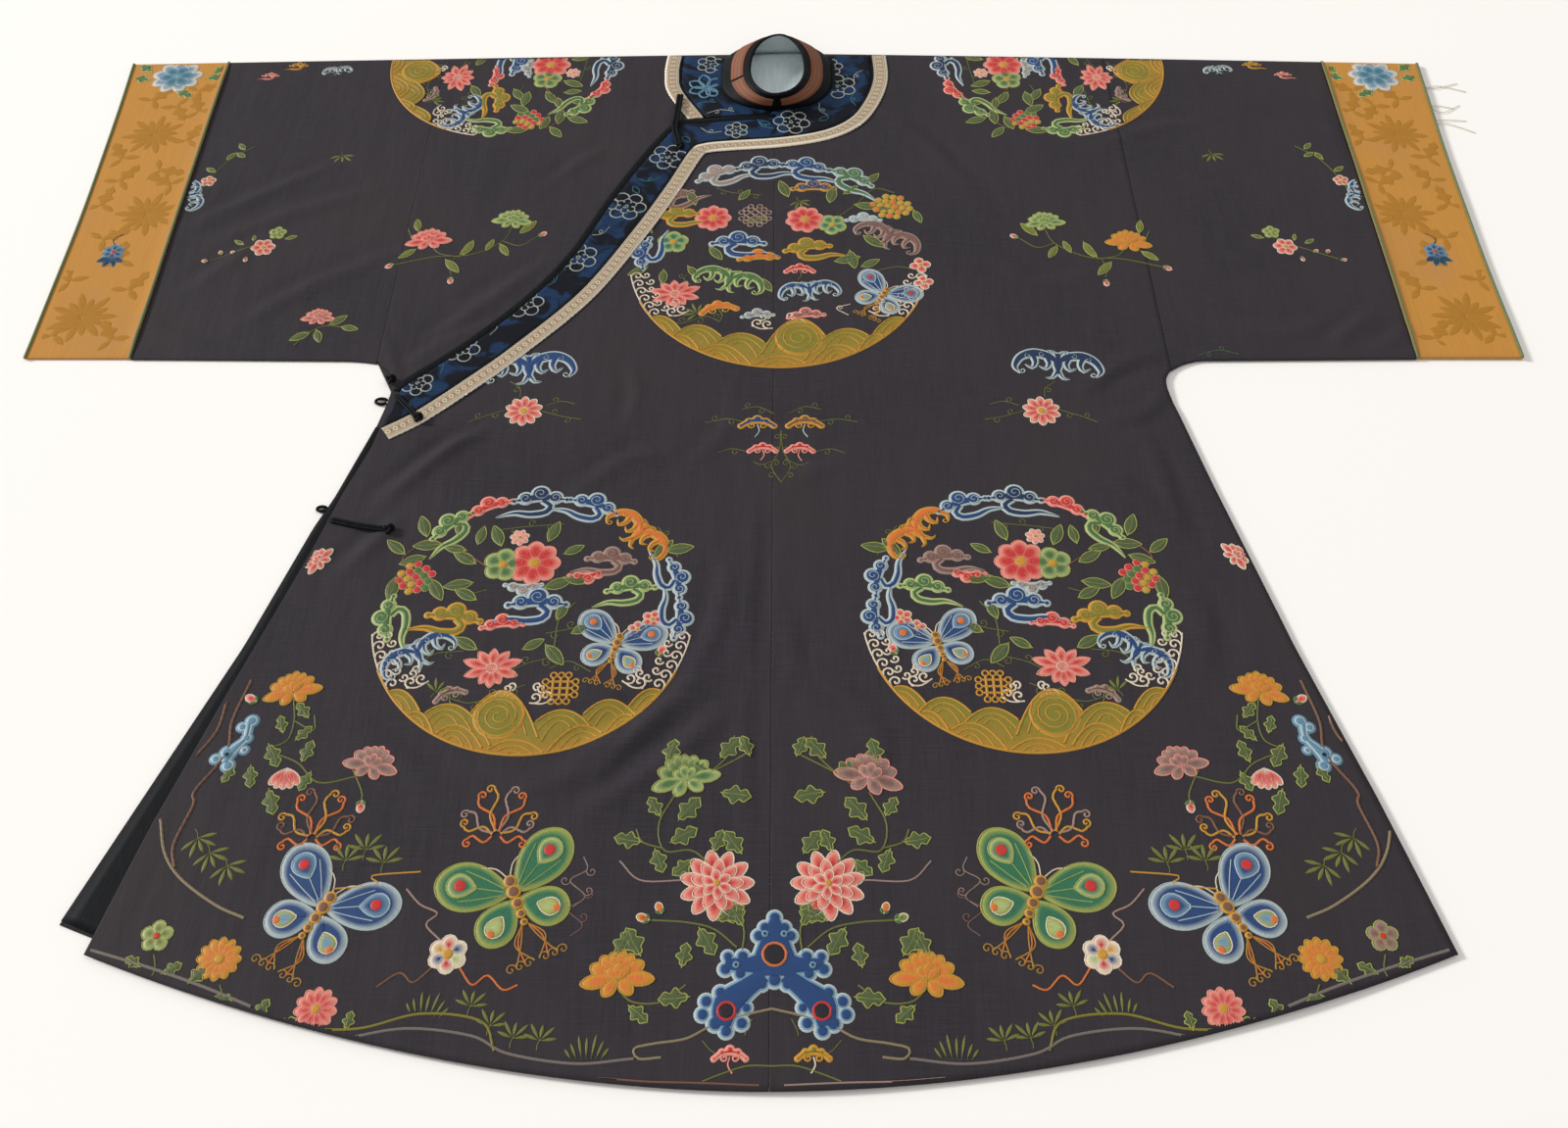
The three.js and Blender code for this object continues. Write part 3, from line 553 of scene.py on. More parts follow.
def grid_faces(rows, columns, ring=False, keep=None):
    """Faces between the points of a grid. keep says which of its cells there are."""
    i, j = np.meshgrid(np.arange(rows if ring else rows - 1), np.arange(columns - 1), indexing="ij")
    below = (i + 1) % rows
    quads = np.stack(
        [i * columns + j, i * columns + j + 1, below * columns + j + 1, below * columns + j], axis=-1
    )
    if keep is not None:
        quads = quads[keep]
    return quads.reshape(-1, 4)


def make_piece(name, points, faces, stuff, slot=None, replaces=(), uv=None):
    """A smooth mesh of points in robe millimetres that rides on the robe."""
    mesh = bpy.data.meshes.new(f"{name}_silk")
    mesh.from_pydata(to_metres(points).tolist(), [], [list(map(int, f)) for f in faces])
    mesh.materials.append(material(stuff))
    if uv is not None:
        corners = np.empty(len(mesh.loops), np.int32)
        mesh.loops.foreach_get("vertex_index", corners)
        layer = mesh.uv_layers.new(name="Weave")
        layer.data.foreach_set("uv", (np.asarray(uv, float)[corners] / 1000).ravel())
    mesh.polygons.foreach_set("use_smooth", np.ones(len(mesh.polygons), bool))
    mesh.update()
    piece = bpy.data.objects.new(f"{name}_silk", mesh)
    bpy.context.collection.objects.link(piece)
    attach(piece, "root")
    if replaces:
        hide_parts(*replaces)
    return piece


def thicken(piece, millimetres):
    """Cloth gets its thickness below the face that was made."""
    shell = piece.modifiers.new("thickness", "SOLIDIFY")
    shell.thickness = millimetres / 1000
    shell.offset = -1


def flat_area(points, faces):
    corners = np.asarray(points, float).reshape(-1, 3)[np.asarray(faces)] / 1000
    crossed = np.cross(corners[:, 2] - corners[:, 0], corners[:, 3] - corners[:, 1])
    return float(np.linalg.norm(crossed, axis=1).sum() / 2)


def turned_up(grid, faces, which):
    """The faces of a grid, all turned over if the one asked about looks down."""
    a, b, c = grid.reshape(-1, 3)[faces[which][:3]]
    return faces[:, ::-1] if np.cross(b - a, c - a)[2] < 0 else faces


def lay_cloth(name, grid, slot, ring=False, keep=None, stuff=silk_gauze, thick=CLOTH):
    """A panel of cloth from a grid of points (rows, columns, xyz), upper face first."""
    faces = grid_faces(*grid.shape[:2], ring, keep)
    faces = turned_up(grid, faces, len(faces) // 4)
    piece = make_piece(name, grid, faces, stuff, slot, [name])
    thicken(piece, thick)
    area = flat_area(grid, faces)


def half_rows(foot_at, edge_at, top_at, low, high, step):
    """Rows of flat points across a half, from its foot to the shoulder fold."""
    ys = np.linspace(low, high, max(2, round((high - low) / step)))
    edge = edge_at(ys)[:, None]
    v = (ys[:, None] - foot_at(edge)) / (top_at(edge) - foot_at(edge))
    u = np.linspace(0, 1, round(540 / STEP))[None, :]
    x = GAP / 2 + u * (edge - GAP / 2)
    y = foot_at(x) + np.clip(v, 0, 1) * (top_at(x) - foot_at(x))
    return x, y


def stack(x, y, z):
    return np.stack([x, y, np.broadcast_to(z, np.shape(x))], axis=-1)


def firm_sides(grid):
    """A column is added close inside each side, so that only the very edge is rounded."""
    first = grid[:, :1] * 0.85 + grid[:, 1:2] * 0.15
    last = grid[:, -1:] * 0.85 + grid[:, -2:-1] * 0.15
    return np.concatenate([grid[:, :1], first, grid[:, 1:-1], last, grid[:, -1:]], axis=1)


FOLD_TURNS = (0.2, 0.4, 0.6, 0.8)  # the rows round a fold, as shares of half a turn
BACK_STEP = 45  # between the rows of a back, which lies flat


def fold_over(x, y, top):
    """Rows that carry the cloth round a fold from its upper face at height top to the floor."""
    radius = top / 2
    return [
        stack(x, y + radius * math.sin(t * math.pi), radius + radius * math.cos(t * math.pi))
        for t in FOLD_TURNS
    ]


def widened(grid, *steps):
    """The grid with its last column repeated, each time moved by a step."""
    return np.concatenate([grid, *(grid[:, -1:] + step for step in steps)], axis=1)


def body_half(half, top, edge_at, low, back_low):
    """Front rows, the fold over the shoulder and back rows of a body half, as one grid."""
    way = half["way"]
    fold = top / 2

    def top_at(x):
        return shoulder_at(x) - fold

    high = float(top_at(np.array(SLEEVE_SEAM)))
    x, y = half_rows(hem_at, edge_at, top_at, low, high, STEP)
    lie = cloth_top(way * x, y) if way > 0 else np.maximum(top + relief(way * x, y) * 0.9, 1.2)
    calm = np.clip((top_at(x) - y) / 25, 0, 1)
    front = stack(way * x, y, top + calm * (lie - top))
    if way > 0:
        # the closed side seam rolls the front's edge down to the back
        edge = front[:, -1:]
        rolled = [edge * (1, 1, 1 - down) + (out, 0, 0) for out, down in ((0.5, 0.35), (0.2, 0.75))]
        front = np.concatenate([front, *rolled], axis=1)
        x, y = widened(x, 0.5, 0.2), widened(y, 0, 0)
    rows = [front, *fold_over(way * x[-1:], y[-1:], top)]
    bx, by = half_rows(back_hem_at, lambda v: half_edge_at(half, v), top_at, back_low, high, BACK_STEP)
    if way > 0:
        bx, by = widened(bx, 0.1, 0.2), widened(by, 0, 0)
    rows.append(stack(way * bx, by, 0.0)[::-1])
    return firm_sides(np.concatenate(rows, axis=0))


HOLE_SPARE = 7  # how much wider the hole in the cloth is than the bands' edge that hides it
HOLE_BACK = 75  # from the neck's middle to the back of the hole
FOLD_KEPT = 9  # the cloth next to the shoulder fold stays whole


def outside_neck(grid):
    """Which cells of a front's grid lie outside the neck hole, which the bands' edges hide."""
    middle = (grid[:-1, :-1] + grid[1:, 1:]) / 2
    x, y = middle[..., 0], middle[..., 1]
    away_y = (y - NECK_Y) / np.where(y > NECK_Y, HOLE_BACK, NECK_HALF_Y + HOLE_SPARE)
    return ((x / (NECK_HALF_X + HOLE_SPARE)) ** 2 + away_y**2 > 1) | (y > LENGTH - FOLD_KEPT)


def underlap_edge(y):
    """The outer edge of the right front below the armpit, short of the facing."""
    armpit_y = RIGHT_HALF["armpit"][1]
    short = np.clip((armpit_y - y) / (armpit_y - FACING_TOP - 4), 0, 1)
    short = short * short * (3 - 2 * short)
    return half_edge_at(RIGHT_HALF, y) - short * (facing_wide_at(y) + 2)


def coons(foot, head, centre, side):
    """A flat patch between four lines of points that meet at their ends."""
    u = np.linspace(0, 1, len(foot))[None, :, None]
    v = np.linspace(0, 1, len(centre))[:, None, None]
    across = foot[None] * (1 - v) + head[None] * v
    up = centre[:, None] * (1 - u) + side[:, None] * u
    corners = (
        foot[0] * (1 - u) * (1 - v) + foot[-1] * u * (1 - v) + head[0] * (1 - u) * v + head[-1] * u * v
    )
    return across + up - corners


def overlap_grid():
    columns, rows = 84, 180
    seam = -GAP / 2
    u = np.linspace(0, 1, columns)
    v = np.linspace(0, 1, rows)
    corner = at_height(OVERLAP_SIDE, HEM_RISE)
    foot = np.stack([seam - u * (corner + seam), hem_at(u * HEM_HALF)], axis=1)
    head = evenly(smooth_line(SLANT, 10), columns)
    head[:, 0] += seam * (1 - u)
    centre = np.stack([np.full(rows, seam), v * SLANT[0][1]], axis=1)
    side_y = HEM_RISE + v * (SLANT[-1][1] - HEM_RISE)
    side = np.stack([-at_height(OVERLAP_SIDE, side_y), side_y], axis=1)
    flat = coons(foot, head, centre, side)
    x, y = flat[..., 0], flat[..., 1]
    return firm_sides(stack(x, y, np.maximum(LEFT_TOP + relief(x, y), 2.2)))


SLEEVE_ROWS = 70  # up the front of a sleeve


def sleeve_grid(half, top, edge_at, foot_at, along, lift=None):
    """A flattened tube of cloth: rows run round it, columns along it from the body out."""
    way = half["way"]
    fold = top / 2
    u = np.linspace(0, 1, along)[None, :]

    def layer(ups):
        up = ups[:, None]
        x = edge_at(u, up)
        low, high = foot_at(x) + fold, shoulder_at(x) - fold
        return x, low + up * (high - low), up

    x, y, up = layer(np.linspace(0, 1, SLEEVE_ROWS))
    calm = np.clip(np.minimum(up, 1 - up) * 18, 0, 1)
    z = top + calm * relief(way * x, y) * 0.9
    if lift is not None:
        z = z + lift(x, y) * calm
    rows = [stack(way * x, y, np.maximum(z, 1.6))]
    rows += fold_over(way * x[-1:], y[-1:], top)
    bx, by, _ = layer(np.linspace(1, 0, 18))
    rows.append(stack(way * bx, by, 0.0))
    for turn in FOLD_TURNS[::-1]:
        angle = turn * math.pi
        rows.append(stack(way * x[:1], y[:1] - fold * math.sin(angle), fold + fold * math.cos(angle)))
    return firm_sides(np.concatenate(rows, axis=0))


def strip(first, second, count, across, lie, bulge=0.0):
    """A grid between two flat lines. lie gives heights, and bulge rounds it over its middle."""
    a, b = evenly(first, count), evenly(second, count)
    share = np.linspace(0, 1, across)[None, :, None]
    flat = a[:, None] * (1 - share) + b[:, None] * share
    x, y = flat[..., 0], flat[..., 1]
    crown = bulge * np.sin(np.linspace(0, np.pi, across))[None, :]
    return stack(x, y, lie(x, y) + crown)


def strip_weave(grid):
    """Coordinates along a strip and across it from its middle, in millimetres."""
    run = run_along(grid.mean(axis=1))[:, None]
    wide = np.linalg.norm(grid[:, -1] - grid[:, 0], axis=1)[:, None]
    across = np.linspace(-0.5, 0.5, grid.shape[1])[None, :] * wide
    return np.stack([np.broadcast_to(run, across.shape), across], axis=-1).reshape(-1, 2)


def lay_strip(name, grid, stuff, slot, thick):
    """A ribbon or band made as a strip, with its own weave coordinates."""
    faces = grid_faces(*grid.shape[:2])
    faces = turned_up(grid, faces, len(faces) // 2)
    piece = make_piece(name, grid, faces, stuff, slot, [name], strip_weave(grid))
    thicken(piece, thick)
    area = flat_area(grid, faces)


def tube(line, radius, sides=8, flat=1.0):
    """Points and faces of a tube along a line in space, with closed ends."""
    line = np.asarray(line, float)
    along = np.gradient(line, axis=0)
    along /= np.linalg.norm(along, axis=1)[:, None] + 1e-9
    across = np.cross(along, [0.0, 0.0, 1.0])
    across /= np.linalg.norm(across, axis=1)[:, None] + 1e-9
    up = np.cross(across, along)
    turn = np.linspace(0, 2 * np.pi, sides, endpoint=False)
    radii = np.broadcast_to(radius, len(line))[:, None, None]
    rings = line[:, None] + radii * (
        across[:, None] * np.cos(turn)[None, :, None]
        + flat * up[:, None] * np.sin(turn)[None, :, None]
    )
    points = np.concatenate([rings.reshape(-1, 3), line[:1], line[-1:]])
    faces = []
    for i in range(len(line) - 1):
        for j in range(sides):
            k = (j + 1) % sides
            faces.append((i * sides + j, i * sides + k, (i + 1) * sides + k, (i + 1) * sides + j))
    last = (len(line) - 1) * sides
    for j in range(sides):
        k = (j + 1) % sides
        faces.append((len(points) - 2, k, j))
        faces.append((len(points) - 1, last + j, last + k))
    return points, faces


def join_parts(parts):
    """Several lists of points and faces as one."""
    points, faces = [], []
    for part_points, part_faces in parts:
        start = sum(len(p) for p in points)
        points.append(np.asarray(part_points, float))
        faces += [tuple(start + int(i) for i in face) for face in part_faces]
    return np.concatenate(points), faces


# ---- needlework ----

THREADS = {
    "cream": "#dccbb4",
    "frost": "#a7b3b2",
    "sky": "#6a8ba1",
    "blue": "#1f3e6c",
    "navy": "#1b2d4c",
    "teal": "#356c7b",
    "pink": "#dc8c7c",
    "red": "#ba302c",
    "orange": "#cb6b2e",
    "gold": "#bd892d",
    "ochre": "#a37826",
    "olive": "#7b7426",
    "moss": "#666a2e",
    "leaf": "#969b4c",
    "green": "#48683b",
    "jade": "#2c6849",
    "pale_green": "#a3ae70",
    "mauve": "#957b70",
    "plum": "#74534a",
    "brown": "#74503c",
    "grey": "#a0a59c",
    "fern": "#4a5633",
    "tan": "#857659",
    "dusk": "#71675f",
    "steel": "#5a8299",
    "dark": "#201d24",
}

# Threads of a blossom: petals' edges, their hearts and their outlines
PINK, ROSE, GREENS = ("pink", "red", "cream"), ("pink", "red", "pink"), ("pale_green", "green", "leaf")


class Place:
    """Where a motif is stitched: its origin, turn in degrees, size and whether it is mirrored."""

    def __init__(self, work, x=0.0, y=0.0, turn=0.0, size=1.0, flip=False, outer=None):
        self.work = work
        self.origin = np.array([x, y], float)
        self.turn = math.radians(turn)
        self.size = size
        self.flip = flip
        self.outer = outer

    def robe(self, points):
        """Points of the motif's own flat frame as points of the robe."""
        flat = np.asarray(points, float) * self.size
        if self.flip:
            flat = flat * (-1, 1)
        cos, sin = math.cos(self.turn), math.sin(self.turn)
        turned = np.stack(
            [flat[:, 0] * cos - flat[:, 1] * sin, flat[:, 0] * sin + flat[:, 1] * cos], axis=1
        )
        moved = turned + self.origin
        return self.outer.robe(moved) if self.outer else moved

    def at(self, x=0.0, y=0.0, turn=0.0, size=1.0, flip=False):
        return Place(self.work, x, y, turn, size, flip, self)

    def halves(self):
        """The place as it is, and mirrored."""
        return self.at(), self.at(flip=True)

    def scale(self):
        return self.size * (self.outer.scale() if self.outer else 1)

    def satin(self, outline, edge, core=None, turn=90.0, over=0.0):
        """A patch of stitches in an outline, from the edge's shade to the core's."""
        flat = self.robe(outline)
        x, y = flat.T
        if np.sum(x * np.roll(y, -1) - np.roll(x, -1) * y) < 0:
            flat = flat[::-1]
        count = len(flat)
        middle = flat.mean(axis=0)
        rim = min(0.45, 3.2 / math.sqrt(abs(np.sum(x * np.roll(y, -1) - np.roll(x, -1) * y)) / 6.3))
        shares = (1.0, 1 - rim * 0.4, 1 - rim * 1.1, 1 - rim * 2)
        lifts = (-0.4, 0.65, 0.9, 1.0)
        blend = (0.0, 0.0, 0.55, 1.0)
        rings = [middle + (flat - middle) * share for share in shares] + [middle[None]]
        lift = np.concatenate([np.repeat(lifts, count), [1.0]]) * self.work.rise + over
        first, last = np.array(linear(THREADS[edge])), np.array(linear(THREADS[core or edge]))
        mix = np.concatenate([np.repeat(blend, count), [1.0]])[:, None]
        points = np.concatenate(rings)
        angle = math.radians(turn)
        weave = points @ np.array([[math.cos(angle), -math.sin(angle)], [math.sin(angle), math.cos(angle)]])
        faces = []
        for ring in range(3):
            for i in range(count):
                k = (i + 1) % count
                start = ring * count
                faces.append((start + i, start + k, start + count + k, start + count + i))
        start = 3 * count
        faces += [(start + i, start + (i + 1) % count, 4 * count) for i in range(count)]
        self.work.add(points, lift, weave, first * (1 - mix) + last * mix, faces)

    def couch(self, line, thread, wide=None, over=0.0, closed=False):
        """A thread laid along a line, standing up a little unevenly between its holding stitches."""
        wide = wide or self.work.wide
        flat = self.robe(line)
        if closed:
            flat = np.concatenate([flat, flat[:1]])
        count = len(flat)
        aside = side_of(flat) * wide / 2
        top = (0.85 + 0.15 * np.cos(np.arange(count) * np.pi)) * wide * 0.5
        lift = np.concatenate([np.full(count, -0.3), top, np.full(count, -0.3)]) + over
        run = run_along(flat)
        weave = np.column_stack([np.tile(run, 3), np.repeat([wide, 0, -wide], count)])
        faces = []
        for i in range(count - 1):
            faces.append((i, count + i, count + i + 1, i + 1))
            faces.append((count + i, 2 * count + i, 2 * count + i + 1, count + i + 1))
        shades = np.tile(linear(THREADS[thread]), (3 * count, 1))
        self.work.add(np.concatenate([flat + aside, flat, flat - aside]), lift, weave, shades, faces)

    def stroke(self, line, wides, edge, core, rim=1.6, over=0.0):
        """A band of stitches along a line, of changing width, edged in another shade."""
        own = smooth_line(line, 4)
        flat = self.robe(own)
        count = len(flat)
        half = np.interp(np.linspace(0, 1, count), np.linspace(0, 1, len(wides)), wides) / 2
        half = half * self.scale()
        aside = side_of(flat)
        offsets = [half, half - 0.5, half - rim, half - rim - 0.5, 0 * half]
        offsets = [np.maximum(o, 0) for o in offsets]
        offsets += [-o for o in offsets[3::-1]]
        lifts = np.array([-0.4, 0.6, 0.8, 0.9, 1.1, 0.9, 0.8, 0.6, -0.4]) * self.work.rise + over
        outer = np.array([1, 1, 1, 0, 0, 0, 1, 1, 1])[:, None]
        shade = outer * linear(THREADS[edge]) + (1 - outer) * linear(THREADS[core])
        points = np.stack([flat + aside * o[:, None] for o in offsets], axis=1).reshape(-1, 2)
        run = run_along(flat)
        weave = np.column_stack([np.concatenate(np.stack(offsets, 1)), np.repeat(run, 9)])
        faces = grid_faces(count, 9).tolist()
        self.work.add(points, np.tile(lifts, count), weave, np.tile(shade, (count, 1)), faces)

    def merged(self, discs, lines, edge, core, rim=2.4, over=0.0):
        """Discs and strokes that run together into one shape, edged in another shade."""
        scale = self.scale()
        for thread, inset, lift in ((edge, 0.0, 0.0), (core, rim / scale, 0.4)):
            for x, y, radius in discs:
                self.satin(circle(x, y, max(0.6, radius - inset)), thread, over=over + lift)
            for line, wides in lines:
                thin = [max(0.5, wide - 2 * inset) for wide in wides]
                self.stroke(line, thin, thread, thread, over=over + lift)


FOLD_CLEAR, EDGE_CLEAR = 2.5, 3  # needlework ends this far from the shoulder fold and the edges
ARM_LEVEL = 740  # above this height the cloth runs on into the sleeves


class Needlework:
    """Satin stitches and couched threads of one zone, gathered for one mesh."""

    def __init__(self):
        sizes = bpy.context.scene.robe_sizes
        self.wide = sizes.couched * 1000
        self.rise = sizes.padding * 1000
        self.points, self.weave, self.shades, self.faces = [], [], [], []
        self.total = 0

    def place(self, x=0.0, y=0.0, turn=0.0, size=1.0, flip=False):
        return Place(self, x, y, turn, size, flip)

    def add(self, flat, lift, weave, shades, faces):
        self.points.append(np.column_stack([flat, lift]))
        self.weave.append(weave)
        self.shades.append(shades)
        self.faces += [tuple(corner + self.total for corner in face) for face in faces]
        self.total += len(flat)

    def finish(self, name, lie=None, within=None, stuff=silk_floss):
        """Lay the stitches on the cloth as one mesh. within says which points may show."""
        points = np.concatenate(self.points)
        x, y = points[:, 0], points[:, 1]
        height = lie(x, y) if lie else cloth_top(x, y)
        edge = np.where(x > 0, at_height(SIDE_LEFT, y), at_height(OVERLAP_SIDE, y))
        inside = (y < shoulder_at(x) - FOLD_CLEAR) & (y > hem_at(x) + EDGE_CLEAR)
        inside &= (np.abs(x) < edge - EDGE_CLEAR) | (y > ARM_LEVEL)
        if within is not None:
            inside &= within(x, y)
        faces = []
        for face in self.faces:
            if all(inside[corner] for corner in face):
                a, b, c = (points[corner] for corner in face[:3])
                turned = (b[0] - a[0]) * (c[1] - a[1]) - (b[1] - a[1]) * (c[0] - a[0])
                faces.append(face[::-1] if turned < 0 else face)
        used = np.unique(np.concatenate([np.array(face) for face in faces]))
        renumber = np.zeros(len(points), int)
        renumber[used] = np.arange(len(used))
        faces = [tuple(renumber[list(face)]) for face in faces]
        laid = np.column_stack([x, y, height + points[:, 2]])[used]
        weave = np.concatenate(self.weave)[used]
        piece = make_piece(name, laid, faces, stuff, uv=weave)
        layer = piece.data.color_attributes.new("Thread", "FLOAT_COLOR", "POINT")
        layer.data.foreach_set("color", np.concatenate(self.shades)[used].ravel())


def circle(x, y, radius):
    count = int(np.clip(radius * 1.1 + 6, 8, 28))
    angle = np.linspace(0, 2 * np.pi, count, endpoint=False)
    return np.stack([x + radius * np.cos(angle), y + radius * np.sin(angle)], axis=1)


def arc(x, y, radius, start, end, step=3.0):
    """Points round part of a circle, between two angles in degrees."""
    count = max(4, round(abs(math.radians(end - start)) * radius / step) + 1)
    angle = np.radians(np.linspace(start, end, count))
    return np.stack([x + radius * np.cos(angle), y + radius * np.sin(angle)], axis=1)


def spiral(x, y, radius, turns, start=0.0, way=1):
    """Points that wind in towards a middle."""
    share = np.linspace(0, 1, max(8, round(turns * 13)))
    angle = math.radians(start) + way * share * turns * 2 * np.pi
    reach = radius * (1 - 0.88 * share)
    return np.stack([x + reach * np.cos(angle), y + reach * np.sin(angle)], axis=1)


def petal_outline(long, wide, tip=0.6, broad=1.35):
    """A petal that runs up from its base. tip is 0.5 for a round end and 1 for a pointed one."""
    count = 7 if long < 18 else 9 if long < 40 else 19
    share = (1 - np.cos(np.linspace(0, np.pi, count))) / 2
    half = wide / 2 * np.abs(np.sin(np.pi * share**broad)) ** tip
    half[0] = wide * 0.08
    right = np.stack([half, share * long], axis=1)
    left = np.stack([-half[-2::-1], share[-2::-1] * long], axis=1)
    return np.concatenate([right, left])


def lobed_outline(long, wide):
    """A leaf with five lobes and a pointed tip, running up from its base."""
    share = np.linspace(0, 1, 17)
    body = np.sin(np.pi * share**0.85) ** 0.75
    half = wide / 2 * body * (0.82 + 0.3 * np.cos(share * 5 * np.pi) * (share > 0.08))
    half[-1] = 0
    right = np.stack([half, share * long], axis=1)
    left = np.stack([-half[-2:0:-1], share[-2:0:-1] * long], axis=1)
    return np.concatenate([right, left])


def petal(place, long, wide, edge, core, tip=0.6, outline=None, over=0.0):
    shape = petal_outline(long, wide, tip)
    turn = math.degrees(place.turn) + 90
    place.satin(shape, edge, core, turn, over)
    if outline:
        place.couch(shape, outline, 1.5, over + 0.15, closed=True)


def flower(place, count, radius, wide, edge, core, outline, heart="gold", tip=0.55):
    """A round flower seen from above."""
    for k in range(count):
        petal(place.at(turn=k * 360 / count), radius, wide, edge, core, tip, outline)
    place.satin(circle(0, 0, radius * 0.24), heart, over=0.5)
    place.couch(circle(0, 0, radius * 0.24), outline, 1.2, 0.6, closed=True)


def chrysanthemum(place, edge="pink", core="red", outline="cream"):
    """A full flower of long petals, its nearer ones laid over the further ones."""
    rows = ((11, 31, 12.5, 0.0, 0.0), (9, 22, 10, 17.0, 0.45), (6, 13, 8, 5.0, 0.9))
    for count, long, wide, start, over in rows:
        for k in range(count):
            at = place.at(0, -2, start + k * 360 / count)
            petal(at, long, wide, edge, core, 0.55, outline, over)
    place.satin(circle(0, -1, 3), "gold", over=1.5)


def peony(place, edge, core, outline):
    """A flower seen from the side: petals that fan upwards and a cup below."""
    back = ((-62, 27, 14), (62, 27, 14), (-34, 25, 13), (34, 25, 13), (-10, 24, 12), (12, 26, 12))
    for turn, long, wide in back:
        petal(place.at(0, 0, turn), long, wide, edge, core, 0.55, outline)
    for turn, long, wide in ((-96, 33, 13), (96, 33, 13), (-140, 20, 12), (140, 20, 12)):
        petal(place.at(0, 0, turn), long, wide, edge, core, 0.6, outline, 0.3)
    for turn, long, wide in ((-40, 15, 9), (40, 15, 9), (0, 16, 10)):
        petal(place.at(0, -2, turn), long, wide, edge, core, 0.55, outline, 0.6)


def lotus(place, edge="pink", core="red", outline="pink"):
    """A star of pointed petals, wider than it is high."""
    pairs = ((38, 27), (72, 33), (108, 30), (150, 22))
    sides = [(way * turn, long) for turn, long in pairs for way in (-1, 1)]
    for turn, long in [(0, 25), *sides, (180, 24)]:
        petal(place.at(0, 0, turn), long, 11, edge, core, 0.85, outline)
    place.couch(arc(0, 0, 6, 0, 330), "cream", 1.4, 0.5)


def bud(place, edge="pink", core="red"):
    petal(place, 13, 8, edge, core, 0.6, "cream")
    petal(place.at(0, -2, 35), 9, 4, "green", "green", 0.9, None, 0.3)
    petal(place.at(0, -2, -35), 9, 4, "green", "green", 0.9, None, 0.3)


def leaf(place, long=26.0, wide=15.0, lobed=True, light="leaf", dark="fern"):
    """A leaf with a paler edge and a laid vein."""
    shape = lobed_outline(long, wide) if lobed else petal_outline(long, wide, 0.85, 0.9)
    place.satin(shape, dark, dark, math.degrees(place.turn) + 50)
    place.couch(shape, light, 1.5, 0.15, closed=True)
    place.couch(smooth_line([(0, -2), (0.6, long * 0.45), (0, long * 0.85)], 4), light, 1.1, 0.45)


def stem(place, line, thread="moss", wide=1.7):
    place.couch(smooth_line(line, 3), thread, wide)


def scroll(place, line, thread="moss", curl=5.0):
    """A fine tendril with a small curl on each side in turn."""
    run = smooth_line(line, 3)
    place.couch(run, thread, 1.4)
    aside = side_of(run)
    for k, i in enumerate(range(4, len(run) - 2, 6)):
        way = 1 if k % 2 else -1
        x, y = run[i] + aside[i] * way * curl * 0.9
        back = -way * aside[i]
        start = math.degrees(math.atan2(back[1], back[0]))
        place.couch(spiral(x, y, curl, 1.1, start, way), thread, 1.3)


def cloud(place, edge="frost", core="blue", tail=True):
    """A scroll-headed cloud with curls in its lobes and a trailing tail."""
    discs = [(0, 4, 9.5), (-13, -1, 8), (13, -1, 8), (-23, -4, 4), (23, -4, 4)]
    lines = [([(-23, -4), (-12, -2), (0, 0), (12, -2), (23, -4)], (5, 10, 12, 10, 5))]
    if tail:
        lines.append(([(-2, -4), (-9, -10), (-5, -17), (8, -19), (22, -17), (38, -21)], (8, 9, 9, 8, 6, 2)))
    place.merged(discs, lines, edge, core)
    for x, y, radius, start, way in ((0, 4, 6.5, 200, 1), (-13, -1, 5.5, -20, -1), (13, -1, 5.5, 200, 1)):
        place.couch(spiral(x, y, radius, 1.35, start, way), edge, 1.8, 0.75)


def bat(place, edge="frost", core="blue"):
    """A bat with open, scrolling wings."""
    lines = [([(0, 13), (0, 2), (0, -15)], (7, 15, 6))]
    for way in (-1, 1):
        for line, wides in (
            ([(0, 2), (10, 11), (26, 14), (40, 7), (46, -8), (40, -17)], (9, 14, 15, 12, 9, 3)),
            ([(12, 11), (9, 0), (13, -8), (20, -4)], (10, 9, 6, 2)),
            ([(27, 12), (24, 0), (28, -8), (35, -3)], (10, 9, 6, 2)),
            ([(0, 5), (4, 17), (10, 20)], (8, 6, 2)),
            ([(0, -9), (6, -20), (13, -20)], (8, 6, 2)),
        ):
            lines.append(([(way * x, y) for x, y in line], wides))
    place.merged([(0, 13, 5.5)], lines, edge, core, 2.2)
    for half in place.halves():
        for x, y, radius, start in ((17, 12, 4, 90), (32, 9, 4, 60), (38, -13, 4.5, 0), (10, 17, 3, 200)):
            half.couch(spiral(x, y, radius, 1.1, start, -1), edge, 1.6, 0.75)


def fungus(place, edge="pink", core="red", stalk="moss"):
    """A curled lucky fungus head on a short stalk."""
    stem(place, [(0, 0), (2, -9), (-3, -18)], stalk, 1.8)
    ends = [(-18, -2, 4.5), (18, -2, 4.5), (-9, 5, 5.5), (9, 5, 5.5), (0, 8, 6.5)]
    place.merged(ends, [([(-18, -2), (-10, 4), (0, 6), (10, 4), (18, -2)], (8, 9, 10, 9, 8))], edge, core)
    place.couch(spiral(-6, -1, 5, 1.3, 90, 1), edge, 1.7, 0.4)
    place.couch(spiral(6, -1, 5, 1.3, 90, -1), edge, 1.7, 0.4)


